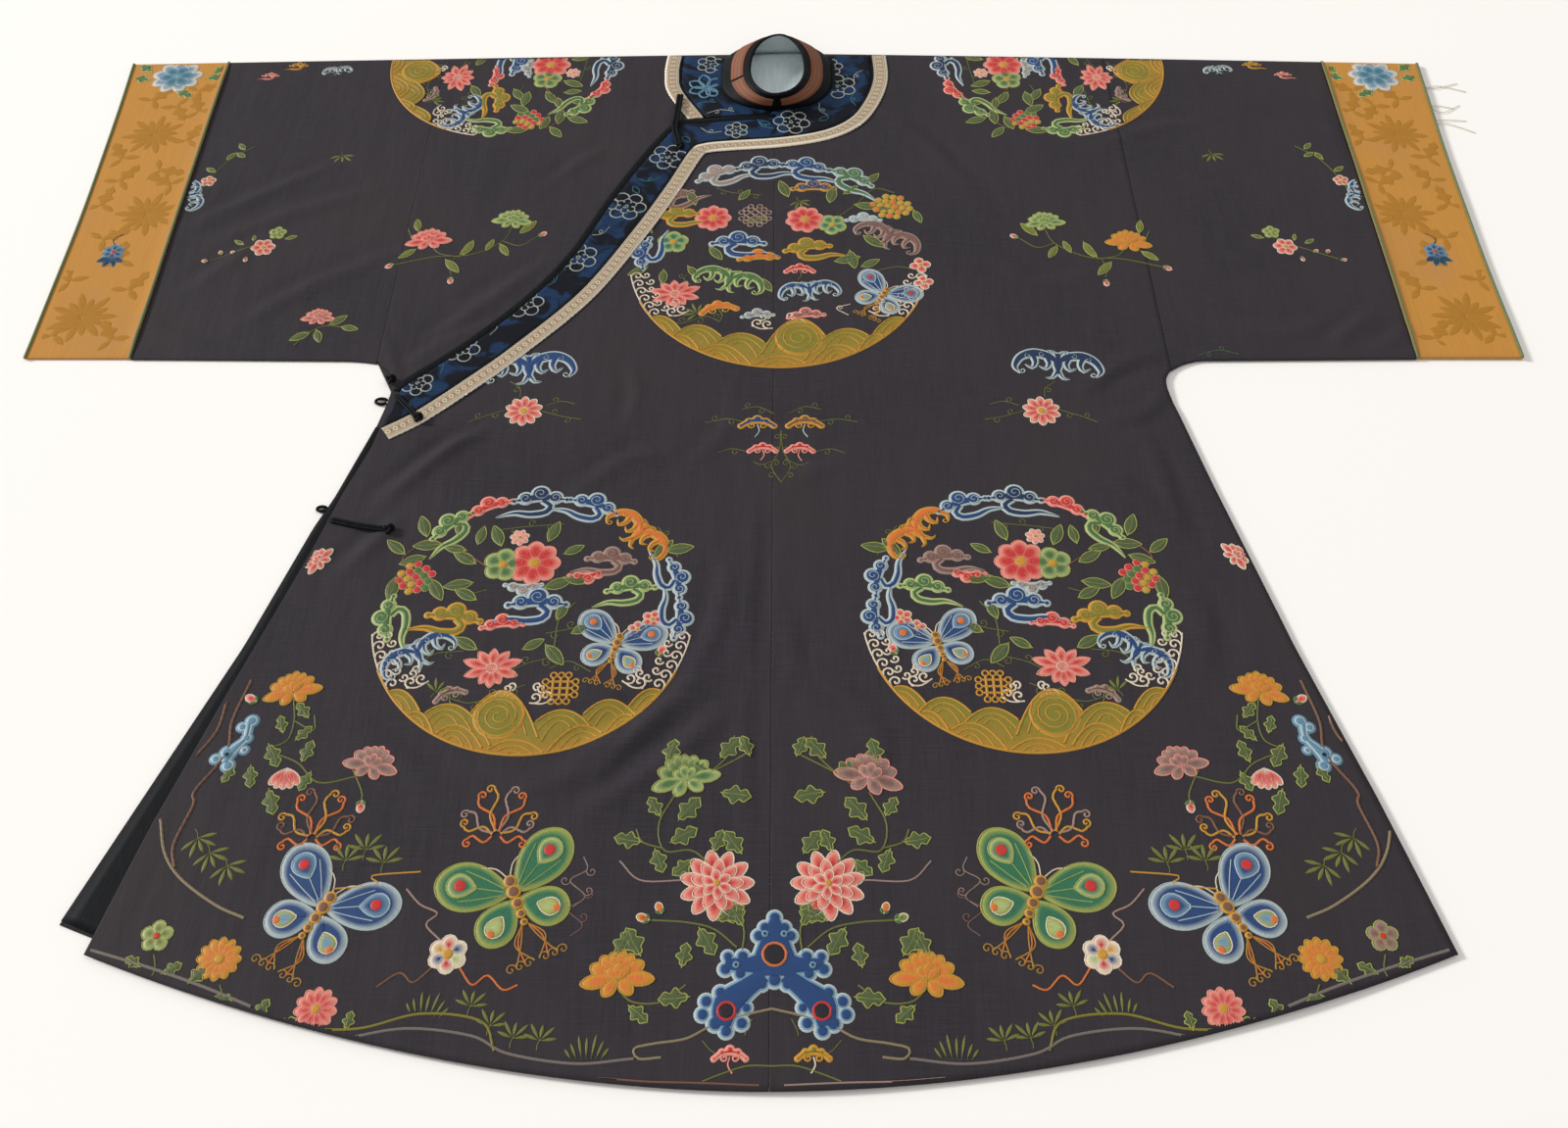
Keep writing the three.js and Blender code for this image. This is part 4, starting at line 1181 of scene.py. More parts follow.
def berries(place, shades=("red", "gold", "red", "green"), rows=(2, 4, 5, 4, 3)):
    """A cluster of round berries with pale rings."""
    k = 0
    for row, count in enumerate(rows):
        for i in range(count):
            x, y = (i - (count - 1) / 2) * 9 + (row % 2), -row * 8.5
            shade = shades[k % len(shades)]
            ring = "pink" if shade == "red" else "leaf"
            place.satin(circle(x, y, 4.6), shade, over=0.1 * (k % 3))
            place.couch(circle(x, y, 4.4), ring, 1.1, 0.3, closed=True)
            k += 1


def endless_knot(place, thread="gold"):
    """A lattice of laid cords with loops at its ends."""
    for k in (-1, 0, 1):
        for turn in (45, 135):
            row = place.at(0, 0, turn)
            row.couch([(x, k * 9.0) for x in np.linspace(-15, 15, 11)], thread, 2.6, 0.3)
            for end in (-18, 18):
                row.couch(circle(end, k * 9.0, 3.8), thread, 2.0, 0.2, closed=True)


def sprig(place, thread="moss"):
    """Five narrow bamboo leaves from one point."""
    for turn, long in ((-75, 15), (-38, 17), (0, 14), (38, 17), (75, 15)):
        petal(place.at(0, 0, turn), long, 3.4, thread, thread, 0.9)
    place.couch([(0, 0), (1, -4), (0.5, -8)], thread, 1.3)


def grass(place, thread="moss"):
    for turn, long in ((-32, 12), (-20, 17), (-9, 22), (2, 19), (12, 21), (24, 15), (36, 11)):
        petal(place.at(turn * 0.35, 0, -turn), long, 2.6, thread, thread, 0.9)


def foam(place, line, thread="cream"):
    """Curling wave crests that lean in from a line."""
    run = smooth_line(line, 4)
    place.couch(run, thread, 2.2)
    aside = side_of(run)
    for k, i in enumerate(range(1, len(run) - 1, 4)):
        start = math.degrees(math.atan2(-aside[i][1], -aside[i][0]))
        for reach, radius, way in ((6.5, 6.5, -1), (16 + 3 * (k % 2), 5.0, 1)):
            x, y = run[i] + aside[i] * reach
            place.couch(spiral(x, y, radius, 1.1, start, way), thread, 2.1, 0.2)


# The mounds at a roundel's foot, the further ones first: middle, half width and top, as
# shares of its radius
MOUNDS = [
    (-0.77, 0.20, -0.55), (-0.52, 0.24, -0.63), (-0.24, 0.26, -0.70), (0.13, 0.21, -0.57),
    (0.44, 0.26, -0.66), (0.76, 0.20, -0.56), (-0.62, 0.16, -0.72), (-0.38, 0.24, -0.80),
    (0.38, 0.22, -0.80), (0.62, 0.15, -0.71), (0.02, 0.3, -0.90),
]
MOUND_FALL = 0.24


def hills(place, radius):
    """The olive mounds at the foot of a roundel with their gold lines."""
    across_count, up_count, line_count = 81, 7, 33
    columns = np.linspace(-0.9, 0.9, across_count) * radius
    foot = -np.sqrt((radius - 1) ** 2 - columns**2)
    wave = foot + 1
    for middle, half, top in MOUNDS:
        rise = top - ((columns / radius - middle) / half) ** 2 * MOUND_FALL
        wave = np.maximum(wave, rise * radius)
    rows = np.linspace(0, 1, up_count)[:, None]
    columns_up = np.broadcast_to(columns, (up_count, across_count))
    flat = np.stack([columns_up, foot + (wave - foot) * rows], axis=-1)
    points = place.robe(flat.reshape(-1, 2))
    lift = np.full(len(points), 0.55)
    blend = np.repeat(np.linspace(0, 1, up_count) ** 0.5, across_count)[:, None]
    shades = (1 - blend) * linear(THREADS["ochre"]) + blend * linear(THREADS["olive"])
    place.work.add(points, lift, points, shades, grid_faces(up_count, across_count).tolist())
    place.couch(flat[0], "gold", 2.6, 0.3)
    across = np.linspace(-1, 1, line_count)
    for k, (middle, half, top) in enumerate(MOUNDS):
        for share in (1.0, 0.72, 0.44):
            x = (middle + across * half * share * 1.15) * radius
            y = (top - (1 - share) * 0.13 - across**2 * MOUND_FALL * 1.3 * (0.4 + 0.6 * share)) * radius
            shown = np.hypot(x, y) < radius - 1
            for other, wide, high in MOUNDS[k + 1 :]:
                shown &= y > (high - ((x / radius - other) / wide) ** 2 * MOUND_FALL) * radius
            runs = np.split(np.arange(line_count), np.flatnonzero(np.diff(shown.astype(int))) + 1)
            for run in runs:
                if shown[run[0]] and len(run) > 2:
                    line = np.stack([x[run], y[run]], axis=1)
                    place.couch(line, "gold", 2.1 if share == 1 else 1.5, 0.7)
    x, y, size = 0.13 * radius, -0.74 * radius, 0.16 * radius
    place.satin(circle(x, y, size), "gold", "olive", over=0.35)
    place.couch(spiral(x, y, size, 3.0, 90, 1), "gold", 2.0, 0.9)


def butterfly(place, wing="blue", edge="frost", band="sky", spot="red"):
    """A butterfly with broad patterned wings and a plume of curling threads behind it."""
    for half in place.halves():
        fore = half.at(3, 6, -58)
        petal(fore, 66, 44, edge, wing, 0.5, edge)
        petal(fore.at(0, 30), 26, 22, band, wing, 0.5, edge, 0.7)
        fore.satin(circle(0, 44, 6), spot, over=1.1)
        for k in (-1, 0, 1):
            fore.couch(smooth_line([(k * 3, 6), (k * 9, 24), (k * 14, 42)], 4), edge, 1.3, 0.75)
        hind = half.at(3, -2, -128)
        petal(hind, 44, 34, edge, wing, 0.5, edge, 0.2)
        petal(hind.at(0, 16), 20, 16, "leaf", band, 0.5, "cream", 0.8)
        hind.satin(circle(0, 33, 4), "orange", over=1.0)
        for turn in (150, 163, 176):
            line = [(2, -24), (8 + (turn - 150) * 0.2, -40), (2 + (176 - turn) * 0.6, -58)]
            stem(half, line, "orange" if turn == 163 else "ochre", 1.8)
            x, y = line[-1]
            half.couch(spiral(x + 5, y, 5, 1.2, 180, -1), "ochre", 1.6)
        stem(half, [(1, 20), (8, 32), (20, 38)], "cream", 1.6)
        half.couch(spiral(20, 34, 4, 1.1, 90, -1), "cream", 1.5)
    body = [(0, 16, 6), (0, 6, 6.5), (0, -5, 5.5), (0, -15, 4.5), (0, -23, 3.5)]
    place.merged(body, [], "gold", "brown", 1.6, 0.9)


def rock(place, discs, lines, rings, threads=("frost", "sky", "blue")):
    """A pierced garden rock, pale at its edge and dark within, with coloured rings."""
    for step, thread in enumerate(threads):
        inset = 1.8 * step
        for x, y, radius in discs:
            place.satin(circle(x, y, radius - inset), thread, over=0.3 * step)
        for line, wides in lines:
            thin = [wide - 2 * inset for wide in wides]
            place.stroke(line, thin, thread, thread, over=0.3 * step)
    for x, y, radius, thread in rings:
        place.satin(circle(x, y, radius), "dark", over=1.1)
        place.couch(circle(x, y, radius), thread, 3.0, 1.2, closed=True)


def plume(place, threads=("orange", "gold", "brown")):
    """Curling threads that fan up out of one point."""
    turns = (-100, -76, -54, -32, -12, 8, 28, 50, 74, 98)
    lengths = (26, 32, 38, 44, 47, 48, 44, 38, 33, 27)
    for k, (turn, long) in enumerate(zip(turns, lengths)):
        at = place.at(0, 0, -turn)
        way = 1 if k % 2 else -1
        thread = threads[k % 3]
        stem(at, [(0, 4), (5 * way, long * 0.45), (-3 * way, long * 0.8), (0, long)], thread, 2.7)
        at.couch(spiral(4 * way, long, 4.5, 1.2, 180 if way > 0 else 0, -way), thread, 2.4)


class ROBE_OT_body(bpy.types.Operator):
    """Lay the two halves of the body and the overlap of the front"""

    bl_idname = "robe.body"
    bl_label = "Body panels"

    def execute(self, context):
        for name, half, top, edge_at, low, back_low in (
            ("body_left", LEFT_HALF, LEFT_TOP, lambda y: half_edge_at(LEFT_HALF, y), 112, 124),
            ("body_right", RIGHT_HALF, RIGHT_TOP, underlap_edge, 165, BACK_RIGHT[0][0]),
        ):
            grid = body_half(half, top, edge_at, low, back_low)
            lay_cloth(name, grid, "aubergine_silk", keep=outside_neck(grid))
        lay_cloth("overlap_front", overlap_grid(), "aubergine_silk")
        ys = np.linspace(FACING_TOP, BACK_RIGHT[0][0] + 3, 60)
        outer = np.stack([GAP - half_edge_at(RIGHT_HALF, ys), ys], axis=1)
        inner = outer + np.stack([facing_wide_at(ys), np.zeros(60)], axis=1)
        inner[:, 1] -= (ys[0] - ys) / (ys[0] - ys[-1]) * FACING_SLOPE
        grid = strip(outer, inner, 60, 5, lambda x, y: np.full(x.shape, RIGHT_TOP), 0.3)
        lay_strip("side_facing", grid, black_satin, "black_satin", 1.0)
        return {"FINISHED"}


def cuff_in(up):
    """The seam of a cuff with its sleeve, from 0 at the foot to 1 at the shoulder fold."""
    return CUFF_FOOT_IN + (CUFF_TOP_IN - CUFF_FOOT_IN) * up


def cuff_out(up):
    return CUFF_FOOT_OUT + (CUFF_TOP_OUT - CUFF_FOOT_OUT) * up


def up_cuff(x, y):
    return (y - CUFF_FOOT) / (shoulder_at(x) - CUFF_FOOT)


def sleeve_edge(u, up):
    start = SLEEVE_SEAM + GAP / 2
    return start + u * (cuff_in(up) - GAP - start)


def cuff_edge(u, up):
    out = cuff_out(up) - CUFF_HOLLOW * np.sin(np.pi * up)
    return cuff_in(up) + u * (out - cuff_in(up))


def seam_lift(x, inner):
    """How far a cuff's inner edge stands up over the seam beside it."""
    return 1.6 * np.exp(-(((x - inner) / 7) ** 2))


class ROBE_OT_sleeves(bpy.types.Operator):
    """Lay the two sleeves with their gold damask cuffs and piping"""

    bl_idname = "robe.sleeves"
    bl_label = "Sleeves and cuffs"

    def execute(self, context):
        for side, half, top in (("left", LEFT_HALF, LEFT_TOP), ("right", RIGHT_HALF, RIGHT_TOP)):
            grid = sleeve_grid(half, top, sleeve_edge, lambda x, h=half: sleeve_foot_at(h, x), 38)
            lay_cloth(f"sleeve_{side}", grid, "aubergine_silk", ring=True)
            grid = sleeve_grid(
                half,
                top,
                cuff_edge,
                lambda x: np.full(np.shape(x), float(CUFF_FOOT)),
                18,
                lambda x, y: seam_lift(x, cuff_in(up_cuff(x, y))),
            )
            lay_cloth(f"cuff_{side}", grid, "gold_damask", ring=True, stuff=damask_ground)
            for edge, column, inset in (("inner", 0, 1.2), ("outer", -1, -1.2)):
                line = np.concatenate([grid[-2:, column], grid[: SLEEVE_ROWS + 2, column]])
                line[:, 0] += half["way"] * inset
                line[:, 2] += 0.6
                name = f"cuff_piping_{edge}_{side}"
                make_piece(name, *tube(line, 1.7, 8, 0.7), cuff_piping_silk, "green_piping_silk", [name])
        return {"FINISHED"}


def band_lie(level):
    """Bands follow the cloth's creases a little."""
    return lambda x, y: np.full(x.shape, level) + 0.5 * np.maximum(relief(x, y), 0)


def neck_line(start, end):
    """The edge of the satin band round the neck, between two angles in degrees."""
    angle = np.radians(np.linspace(start, end, 60))
    x = (NECK_HALF_X + 2) * np.cos(angle)
    y = NECK_Y + (NECK_HALF_Y + 2) * np.sin(angle)
    return np.stack([x, np.minimum(y, 1370)], axis=1)


def scallop(grid):
    """Give a ribbon's outer edge small rounded teeth."""
    run = run_along(grid[:, -1])
    out = grid[:, -1] - grid[:, -2]
    out /= np.linalg.norm(out, axis=1)[:, None]
    grid[:, -1] += out * (0.9 * np.abs(np.sin(run / 6.5 * np.pi)) - 0.7)[:, None]


class ROBE_OT_neck_bands(bpy.types.Operator):
    """Lay the blue satin band, its cream ribbon and the black binding round the neck"""

    bl_idname = "robe.neck_bands"
    bl_label = "Neck bands"

    def execute(self, context):
        outer = smooth_line(BAND_EDGE, 6)
        slant = smooth_line(SLANT[:-1] + [(-424, 752)], 6)
        inner = np.concatenate([neck_line(75, -89), slant[2:] + side_of(slant)[2:] * BINDING_WIDE])
        for name, line, across, lie, bulge, stuff, thick in (
            ("yoke_main", inner, 10, BAND_LEVEL + 1.0, 0.0, blue_brocade, 0.8),
            ("trim_main", outer + side_of(outer) * TRIM_WIDE, 7, BAND_LEVEL + 1.2, 0.3, cream_ribbon, 0.9),
        ):
            grid = strip(outer, line, 420 if bulge else 150, across, band_lie(lie), bulge)
            if stuff is cream_ribbon:
                scallop(grid)
            lay_strip(name, grid, stuff, stuff.__name__, thick)
        bound = slant + side_of(slant) * BINDING_WIDE
        grid = strip(slant, bound, 150, 6, band_lie(BAND_LEVEL + 1.0), 0.7)
        lay_strip("overlap_binding", grid, black_satin, "black_satin", 1.0)
        edge = smooth_line(SHOULDER_BAND_EDGE, 6)
        for name, line, level in (("main", outer, BAND_LEVEL), ("shoulder", edge, SHOULDER_BAND_LEVEL)):
            lie = band_lie(level + 1.5)(line[:, 0], line[:, 1])
            cord = tube(np.column_stack([line, lie]), 1.3, 8, 0.7)
            make_piece(f"edging_cord_{name}", *cord, black_satin)
        inner = np.concatenate([neck_line(118, 268), [(-1, 1244)]])
        grid = strip(edge, inner, 60, 8, band_lie(SHOULDER_BAND_LEVEL + 1.0))
        lay_strip("yoke_shoulder", grid, blue_brocade, "blue_brocade", 0.8)
        outer = edge - side_of(edge) * TRIM_WIDE
        outer[-1] = (-119, 1230)
        grid = strip(edge, outer, 90, 7, band_lie(SHOULDER_BAND_LEVEL + 1.2), 0.3)
        scallop(grid)
        lay_strip("trim_shoulder", grid, cream_ribbon, "cream_ribbon", 0.9)
        return {"FINISHED"}


# The collar's stand, as in the solid: centre, half sizes and corner shape of its base and rim
COLLAR_BASE = (2, 1311, 75, 61.5, 0.9, 0.42)
COLLAR_RIM = (3, 1305, 38, 61, 1.0, 1.0)
COLLAR_FRONT, COLLAR_SIDE, COLLAR_BACK = 25, 22, 32
COLLAR_FULL_BACK = 0.35


def stand_edge(edge, angle):
    x, y, half_x, half_y, front_corner, back_corner = edge
    cos, sin = np.cos(angle), np.sin(angle)
    corner = np.where(sin > 0, back_corner, front_corner)
    across = np.sign(cos) * np.abs(cos) ** corner
    along = np.sign(sin) * np.abs(sin) ** corner
    return np.stack([x + half_x * across, y + half_y * along], axis=-1)


def stand_face(turns, ups, out=0.0):
    """Points of the collar's stand, moved out from its face. Turns run from the front."""
    turn, up = np.meshgrid(turns, ups, indexing="ij")
    angle = turn * 2 * np.pi - np.pi / 2
    sin = np.sin(angle)
    end = np.where(sin > 0, COLLAR_BACK, COLLAR_FRONT)
    high = COLLAR_SIDE + (end - COLLAR_SIDE) * np.abs(sin)
    share = np.clip((np.cos(angle) + 0.3) / 0.6, 0, 1)
    seat = RIGHT_TOP + (LEFT_TOP - RIGHT_TOP) * share * share * (3 - 2 * share)
    base, rim = stand_edge(COLLAR_BASE, angle), stand_edge(COLLAR_RIM, angle)
    flat = base + (rim - base) * up[..., None]
    z = seat + 2.8 + high * up ** (1 - COLLAR_FULL_BACK * sin)
    if ups[0] == 0:
        z[:, 0] = seat[:, 0] + 0.9  # the foot is tucked in under the band's level
    points = np.concatenate([flat, z[..., None]], axis=-1)
    round_it = np.gradient(points, axis=0)
    rise = np.gradient(points, axis=1)
    face = np.cross(round_it, rise)
    face /= np.linalg.norm(face, axis=-1)[..., None] + 1e-9
    return points + face * out


class ROBE_OT_collar(bpy.types.Operator):
    """Raise the collar stand with its lining, ribbon and rolled rim"""

    bl_idname = "robe.collar"
    bl_label = "Collar"

    def execute(self, context):
        ups = np.linspace(0, 1, 12)
        for name, gap, out, stuff, slot, nodes in (
            ("collar_stand", 0.0, 0.0, black_satin, "black_satin", ["collar_stand"]),
            ("collar_lining", 0.012, -0.9, lining_silk, "pale_lining_silk", []),
        ):
            grid = stand_face(np.linspace(gap, 1 - gap, 120), ups, out)
            faces = grid_faces(*grid.shape[:2])
            piece = make_piece(name, grid, faces, stuff, slot, nodes)
            thicken(piece, 0.7)
            flat_area(grid, faces) * 0.98
        rim = stand_face(np.linspace(0.0, 1.0, 120), np.array([0.97, 1.0]), -0.6)[:, 1]
        back = np.clip(1 - np.abs(np.linspace(-1, 1, 120)) * 2.4, 0, 1)
        make_piece("collar_rim", *tube(rim, 2.6 - 1.4 * back, 10), black_satin, "black_satin")
        ribbon_ups = np.linspace(0.38, 0.82, 6)
        for name, start, end in (
            ("collar_ribbon_long", 0.014, 0.775),
            ("collar_ribbon_short", 0.785, 0.986),
        ):
            grid = stand_face(np.linspace(start, end, 90), ribbon_ups, 0.9)
            faces = grid_faces(*grid.shape[:2])
            weave = strip_weave(grid)
            piece = make_piece(name, grid, faces, rust_ribbon, "rust_ribbon", [name], weave)
            thicken(piece, 0.6)
            area = flat_area(grid, faces)
        lines = stand_edge(COLLAR_BASE, np.radians(np.linspace(0, 360, 90)))
        middle = np.array([[2.0, NECK_Y + 2]])
        lines = middle + (lines - middle) * 0.97

        def bowl(x, y):
            """The lining lies flat and rises at the back over the bands to the collar's foot."""
            reach = np.hypot((x - 2) / (NECK_HALF_X + 2), (y - NECK_Y) / (NECK_HALF_Y + 2))
            rise = np.clip((reach - 0.75) / 0.25, 0, 1) * np.clip((y - NECK_Y) / 25, 0, 1)
            seat = np.interp(x, (-22, 22), (RIGHT_TOP, LEFT_TOP))
            return LAYER + 1.0 + rise * rise * (3 - 2 * rise) * (seat + 1.2 - LAYER)

        grid = strip(lines, np.repeat(middle, len(lines), 0), 80, 12, bowl)
        lay_cloth("neck_lining", grid, "pale_lining_silk", stuff=lining_silk, thick=0.6)
        return {"FINISHED"}


# ---- what is stitched where: motif, x, y, turn, size, and its own colours ----

ROUNDEL = [
    (cloud, -50, 135, 20, 1.15, ("frost", "blue")),
    (cloud, 8, 143, -3, 1.2, ("frost", "navy")),
    (cloud, 60, 131, -25, 1.0, ("pink", "red", False)),
    (cloud, 98, 108, -42, 1.1, ("pale_green", "green")),
    (cloud, -141, 40, 76, 1.05, ("frost", "blue")),
    (cloud, -146, -8, 94, 1.05, ("frost", "blue")),
    (cloud, 146, -8, -92, 1.1, ("pale_green", "green")),
    (bat, -98, 96, 44, 0.84, ("gold", "orange")),
    (bat, 108, -50, -32, 0.8, ("frost", "blue")),
    (cloud, -72, 66, 4, 1.05, ("mauve", "plum")),
    (cloud, -94, 30, -6, 1.05, ("pale_green", "green")),
    (cloud, -50, 42, 172, 0.8, ("pink", "red", False)),
    (cloud, -2, 12, 0, 1.25, ("frost", "blue")),
    (cloud, 30, -14, -6, 0.9, ("pink", "red", False)),
    (cloud, 78, -4, 8, 1.15, ("gold", "olive")),
    (cloud, 14, 28, 180, 0.8, ("frost", "mauve", False)),
    (lotus, 34, -66, 0, 0.9, ()),
    (endless_knot, -34, -88, 45, 0.8, ()),
    (butterfly, -84, -42, 14, 0.74, ("blue", "frost", "sky", "orange")),
    (bud, -126, -52, 25, 1.0, ()),
    (sprig, 84, -92, 30, 1.0, ()),
    (fungus, 70, -96, -20, 0.8, ("mauve", "plum")),
]
ROUNDEL_LEAVES = [
    (-24, 70, 62), (-26, 40, 98), (-6, 86, 20), (66, 58, -60), (66, 34, -100), (42, 80, -22),
    (66, 82, 10), (78, 74, -80), (88, 94, 0), (104, 82, -95), (120, 92, -20), (118, 66, -110),
    (140, 70, -50), (144, 40, 185), (108, 38, 150), (-16, -40, 140), (-40, -26, 60), (-24, -10, 20),
    (-116, 66, 40), (-128, 74, 80), (52, -44, -60), (6, -44, 60), (60, 14, -60), (-8, 28, 70),
]
CHEST = [
    (cloud, -22, 152, 8, 1.15, ("frost", "navy")),
    (cloud, -70, 138, 26, 1.1, ("frost", "mauve")),
    (cloud, 30, 150, -10, 1.15, ("frost", "blue")),
    (cloud, 82, 132, -30, 1.15, ("frost", "green")),
    (cloud, -118, 96, 34, 1.0, ("mauve", "brown")),
    (cloud, -112, 70, 6, 1.0, ("gold", "olive")),
    (cloud, -146, 6, 84, 1.05, ("frost", "blue")),
    (cloud, 38, 114, 0, 1.0, ("gold", "blue", False)),
    (cloud, -44, 26, 0, 1.2, ("frost", "blue")),
    (cloud, -22, 2, 4, 0.9, ("gold", "orange", False)),
    (cloud, 30, 18, 10, 1.05, ("gold", "olive")),
    (cloud, 92, 62, 0, 0.8, ("frost", "grey", False)),
    (bat, -52, -34, -16, 0.8, ("pale_green", "green")),
    (bat, 118, 32, -30, 0.8, ("mauve", "plum")),
    (bat, 32, -50, 6, 0.68, ("frost", "blue")),
    (butterfly, 108, -58, -30, 0.6, ("blue", "frost", "sky", "red")),
    (lotus, -108, -56, 6, 0.84, ()),
    (endless_knot, -26, 66, 0, 0.78, ("mauve",)),
    (fungus, -62, -78, 12, 1.0, ("gold", "orange")),
    (fungus, 22, -20, 0, 0.8, ("pink", "red")),
    (sprig, -84, -84, 60, 1.0, ()),
    (sprig, 22, 90, 200, 0.9, ()),
    (cloud, 28, -84, 6, 0.8, ("pink", "plum", False)),
    (cloud, -22, -84, 6, 0.7, ("frost", "mauve", False)),
]
CHEST_LEAVES = [
    (-92, 84, 20), (-44, 92, -35), (-36, 58, -80), (-138, 40, 40), (-140, -16, 120), (-122, -20, 180),
    (-96, -14, 215), (-74, 16, 215), (10, 98, 20), (56, 88, -10), (72, 102, -50), (84, 84, -100),
    (98, 120, -40), (104, 78, -95), (92, 34, -130), (76, 10, 190), (148, 74, 200), (60, -6, -75),
    (88, -14, -60), (-8, -50, 30),
]
SPRAY_LEAVES = [
    (-64, 22, 40), (-42, 2, 150), (-26, -8, 20), (-8, 8, -160), (4, -16, 35), (20, -26, 140),
    (62, 26, -10), (60, -8, -130),
]
HEM_LEAVES = [
    (92, 6, -60), (70, 0, 60), (46, -8, 40), (6, -26, -70), (-16, -36, 30), (-36, -46, 60),
    (-92, -46, 10),
]


def stitch_list(place, motifs):
    for motif, x, y, turn, size, colours in motifs:
        motif(place.at(x, y, turn, size), *colours)


def stitch_leaves(place, leaves, long=26.0, wide=12.0, lobed=False, light="leaf", dark="fern"):
    for x, y, turn in leaves:
        grown = 1 + 0.16 * math.sin(x * 1.7 + y)
        leaf(place.at(x, y, turn), long * grown, wide * grown, lobed, light, dark)


def roundel_edge(place, radius):
    """What the roundels have alike: mounds at the foot and wave crests up both sides."""
    hills(place, radius)
    for half in place.halves():
        foam(half, arc(0, 0, radius - 1.5, 190, 214))
        for x, y, turn in ((-104, -84, 20), (-18, -102, -10)):
            foam(half.at(x, y, turn), [(-10, 0), (0, -3), (12, 0)])


def skirt_roundel(place, first="red", second="green"):
    """A roundel of the skirt: clouds and bats round two blossoms, over mounds."""
    radius = 160
    roundel_edge(place, radius)
    scroll(place, [(-20, 108), (20, 104), (46, 100)])
    scroll(place, [(-140, 66), (-128, 88), (-118, 104)], "moss", 4)
    scroll(place, [(-30, -52), (0, -60), (20, -72)])
    scroll(place, [(76, -96), (50, -104), (18, -92), (0, -84)])
    scroll(place, [(64, -46), (92, -50), (110, -66)])
    stem(place, [(40, 44), (78, 70), (116, 84), (140, 66), (134, 50)], "brown", 2.0)
    stem(place, [(-24, -44), (-26, -10), (-40, 10)], "moss")
    stitch_leaves(place, ROUNDEL_LEAVES, 25, 11)
    stitch_list(place, ROUNDEL)
    scroll(place, [(-66, -8), (-40, -20), (-14, -26)])
    scroll(place, [(50, 26), (66, 22), (84, 30)], "moss", 4)
    scroll(place, [(-62, -70), (-40, -58), (-22, -66)], "moss", 4)
    berries(place.at(128, 56, -14, 0.92))
    flower(place.at(38, 56, 10), 5, 20, 19, "pale_green", second, "leaf")
    flower(place.at(6, 58, 0), 8, 27, 19, "pink", first, "pink")
    flower(place.at(24, 90, 20), 7, 10, 6, "pink", "pink", "cream")
    flower(place.at(-118, -10, 20, 0.6), 5, 18, 14, *PINK)
    flower(place.at(-104, -22, 0, 0.6), 5, 16, 13, *PINK)


def chest_roundel(place):
    radius = 160
    roundel_edge(place, radius)
    scroll(place, [(-70, 112), (-52, 104), (-20, 100)], "moss", 4)
    scroll(place, [(-130, -92), (-100, -98), (-76, -88), (-60, -96)])
    stem(place, [(60, 60), (84, 84), (106, 110), (128, 104)], "moss")
    stem(place, [(104, -20), (126, -14), (150, -20)], "moss")
    stitch_leaves(place, CHEST_LEAVES, 24, 10)
    stitch_list(place, CHEST)
    berries(place.at(126, 96, -10, 0.9), ("gold", "gold", "orange"), (3, 5, 6, 5, 3))
    scroll(place, [(-90, -20), (-100, -32), (-92, -42)], "moss", 4)
    scroll(place, [(72, -86), (60, -76), (74, -70)], "cream", 4)
    flower(place.at(-72, 62, 0), 8, 20, 14, *ROSE)
    flower(place.at(28, 60, 12), 8, 21, 15, *ROSE)
    flower(place.at(-114, 24, 0), 5, 17, 16, "pale_green", "jade", "leaf")
    flower(place.at(58, 52, 30), 5, 16, 15, "pale_green", "jade", "leaf")
    for x, y, size in ((150, -12, 0.8), (152, -38, 0.75), (-162, 24, 0.8)):
        flower(place.at(x, y, 10, size), 4, 14, 12, *PINK)


def shoulder_spray(place, first, second):
    stem(place, [(-54, 40), (-44, 8), (-8, -16), (34, -20), (80, -34)])
    stem(place, [(-44, 8), (-66, 0), (-86, 16)])
    stem(place, [(44, 4), (30, -14), (4, -20)])
    stem(place, [(44, 4), (64, 10), (74, 28)], "moss")
    stem(place, [(10, -20), (14, -38), (10, -52)], "moss", 1.4)
    stitch_leaves(place, SPRAY_LEAVES, 24, 9, False, "leaf", "moss")
    peony(place.at(-52, 44, 6, 0.78), *first)
    peony(place.at(46, 8, -8, 0.86), *second)
    for x, y, turn in ((-88, 16, 50), (82, -34, -120), (10, -56, 180)):
        bud(place.at(x, y, turn, 0.8))


def cuff_sprigs(place):
    """The small flowers near a cuff."""
    stem(place, [(-30, 24), (-12, 4), (16, -10), (48, -26)], "moss", 1.5)
    flower(place.at(-24, 22, 0, 0.9), 5, 12, 10, *GREENS)
    flower(place.at(-12, -4, 20, 0.95), 6, 15, 11, *PINK)
    for x, y, turn in ((20, -14, -60), (36, -16, -30), (50, -28, -80), (4, -22, 190)):
        bud(place.at(x, y, turn, 0.55))
    stitch_leaves(place, [(-36, 12, 70), (2, 8, -10), (14, 2, -60)], 12, 5, False)
    stem(place, [(40, 186), (66, 160), (84, 120), (92, 84)], "moss")
    for x, y, turn in ((52, 180, -40), (70, 160, 30), (80, 136, -60), (88, 112, 40), (60, 172, 120)):
        leaf(place.at(x, y, turn), 14, 7, False)
    flower(place.at(84, 118, 0, 0.8), 5, 12, 10, *PINK)
    bat(place.at(98, 92, 70, 0.62), "frost", "blue")


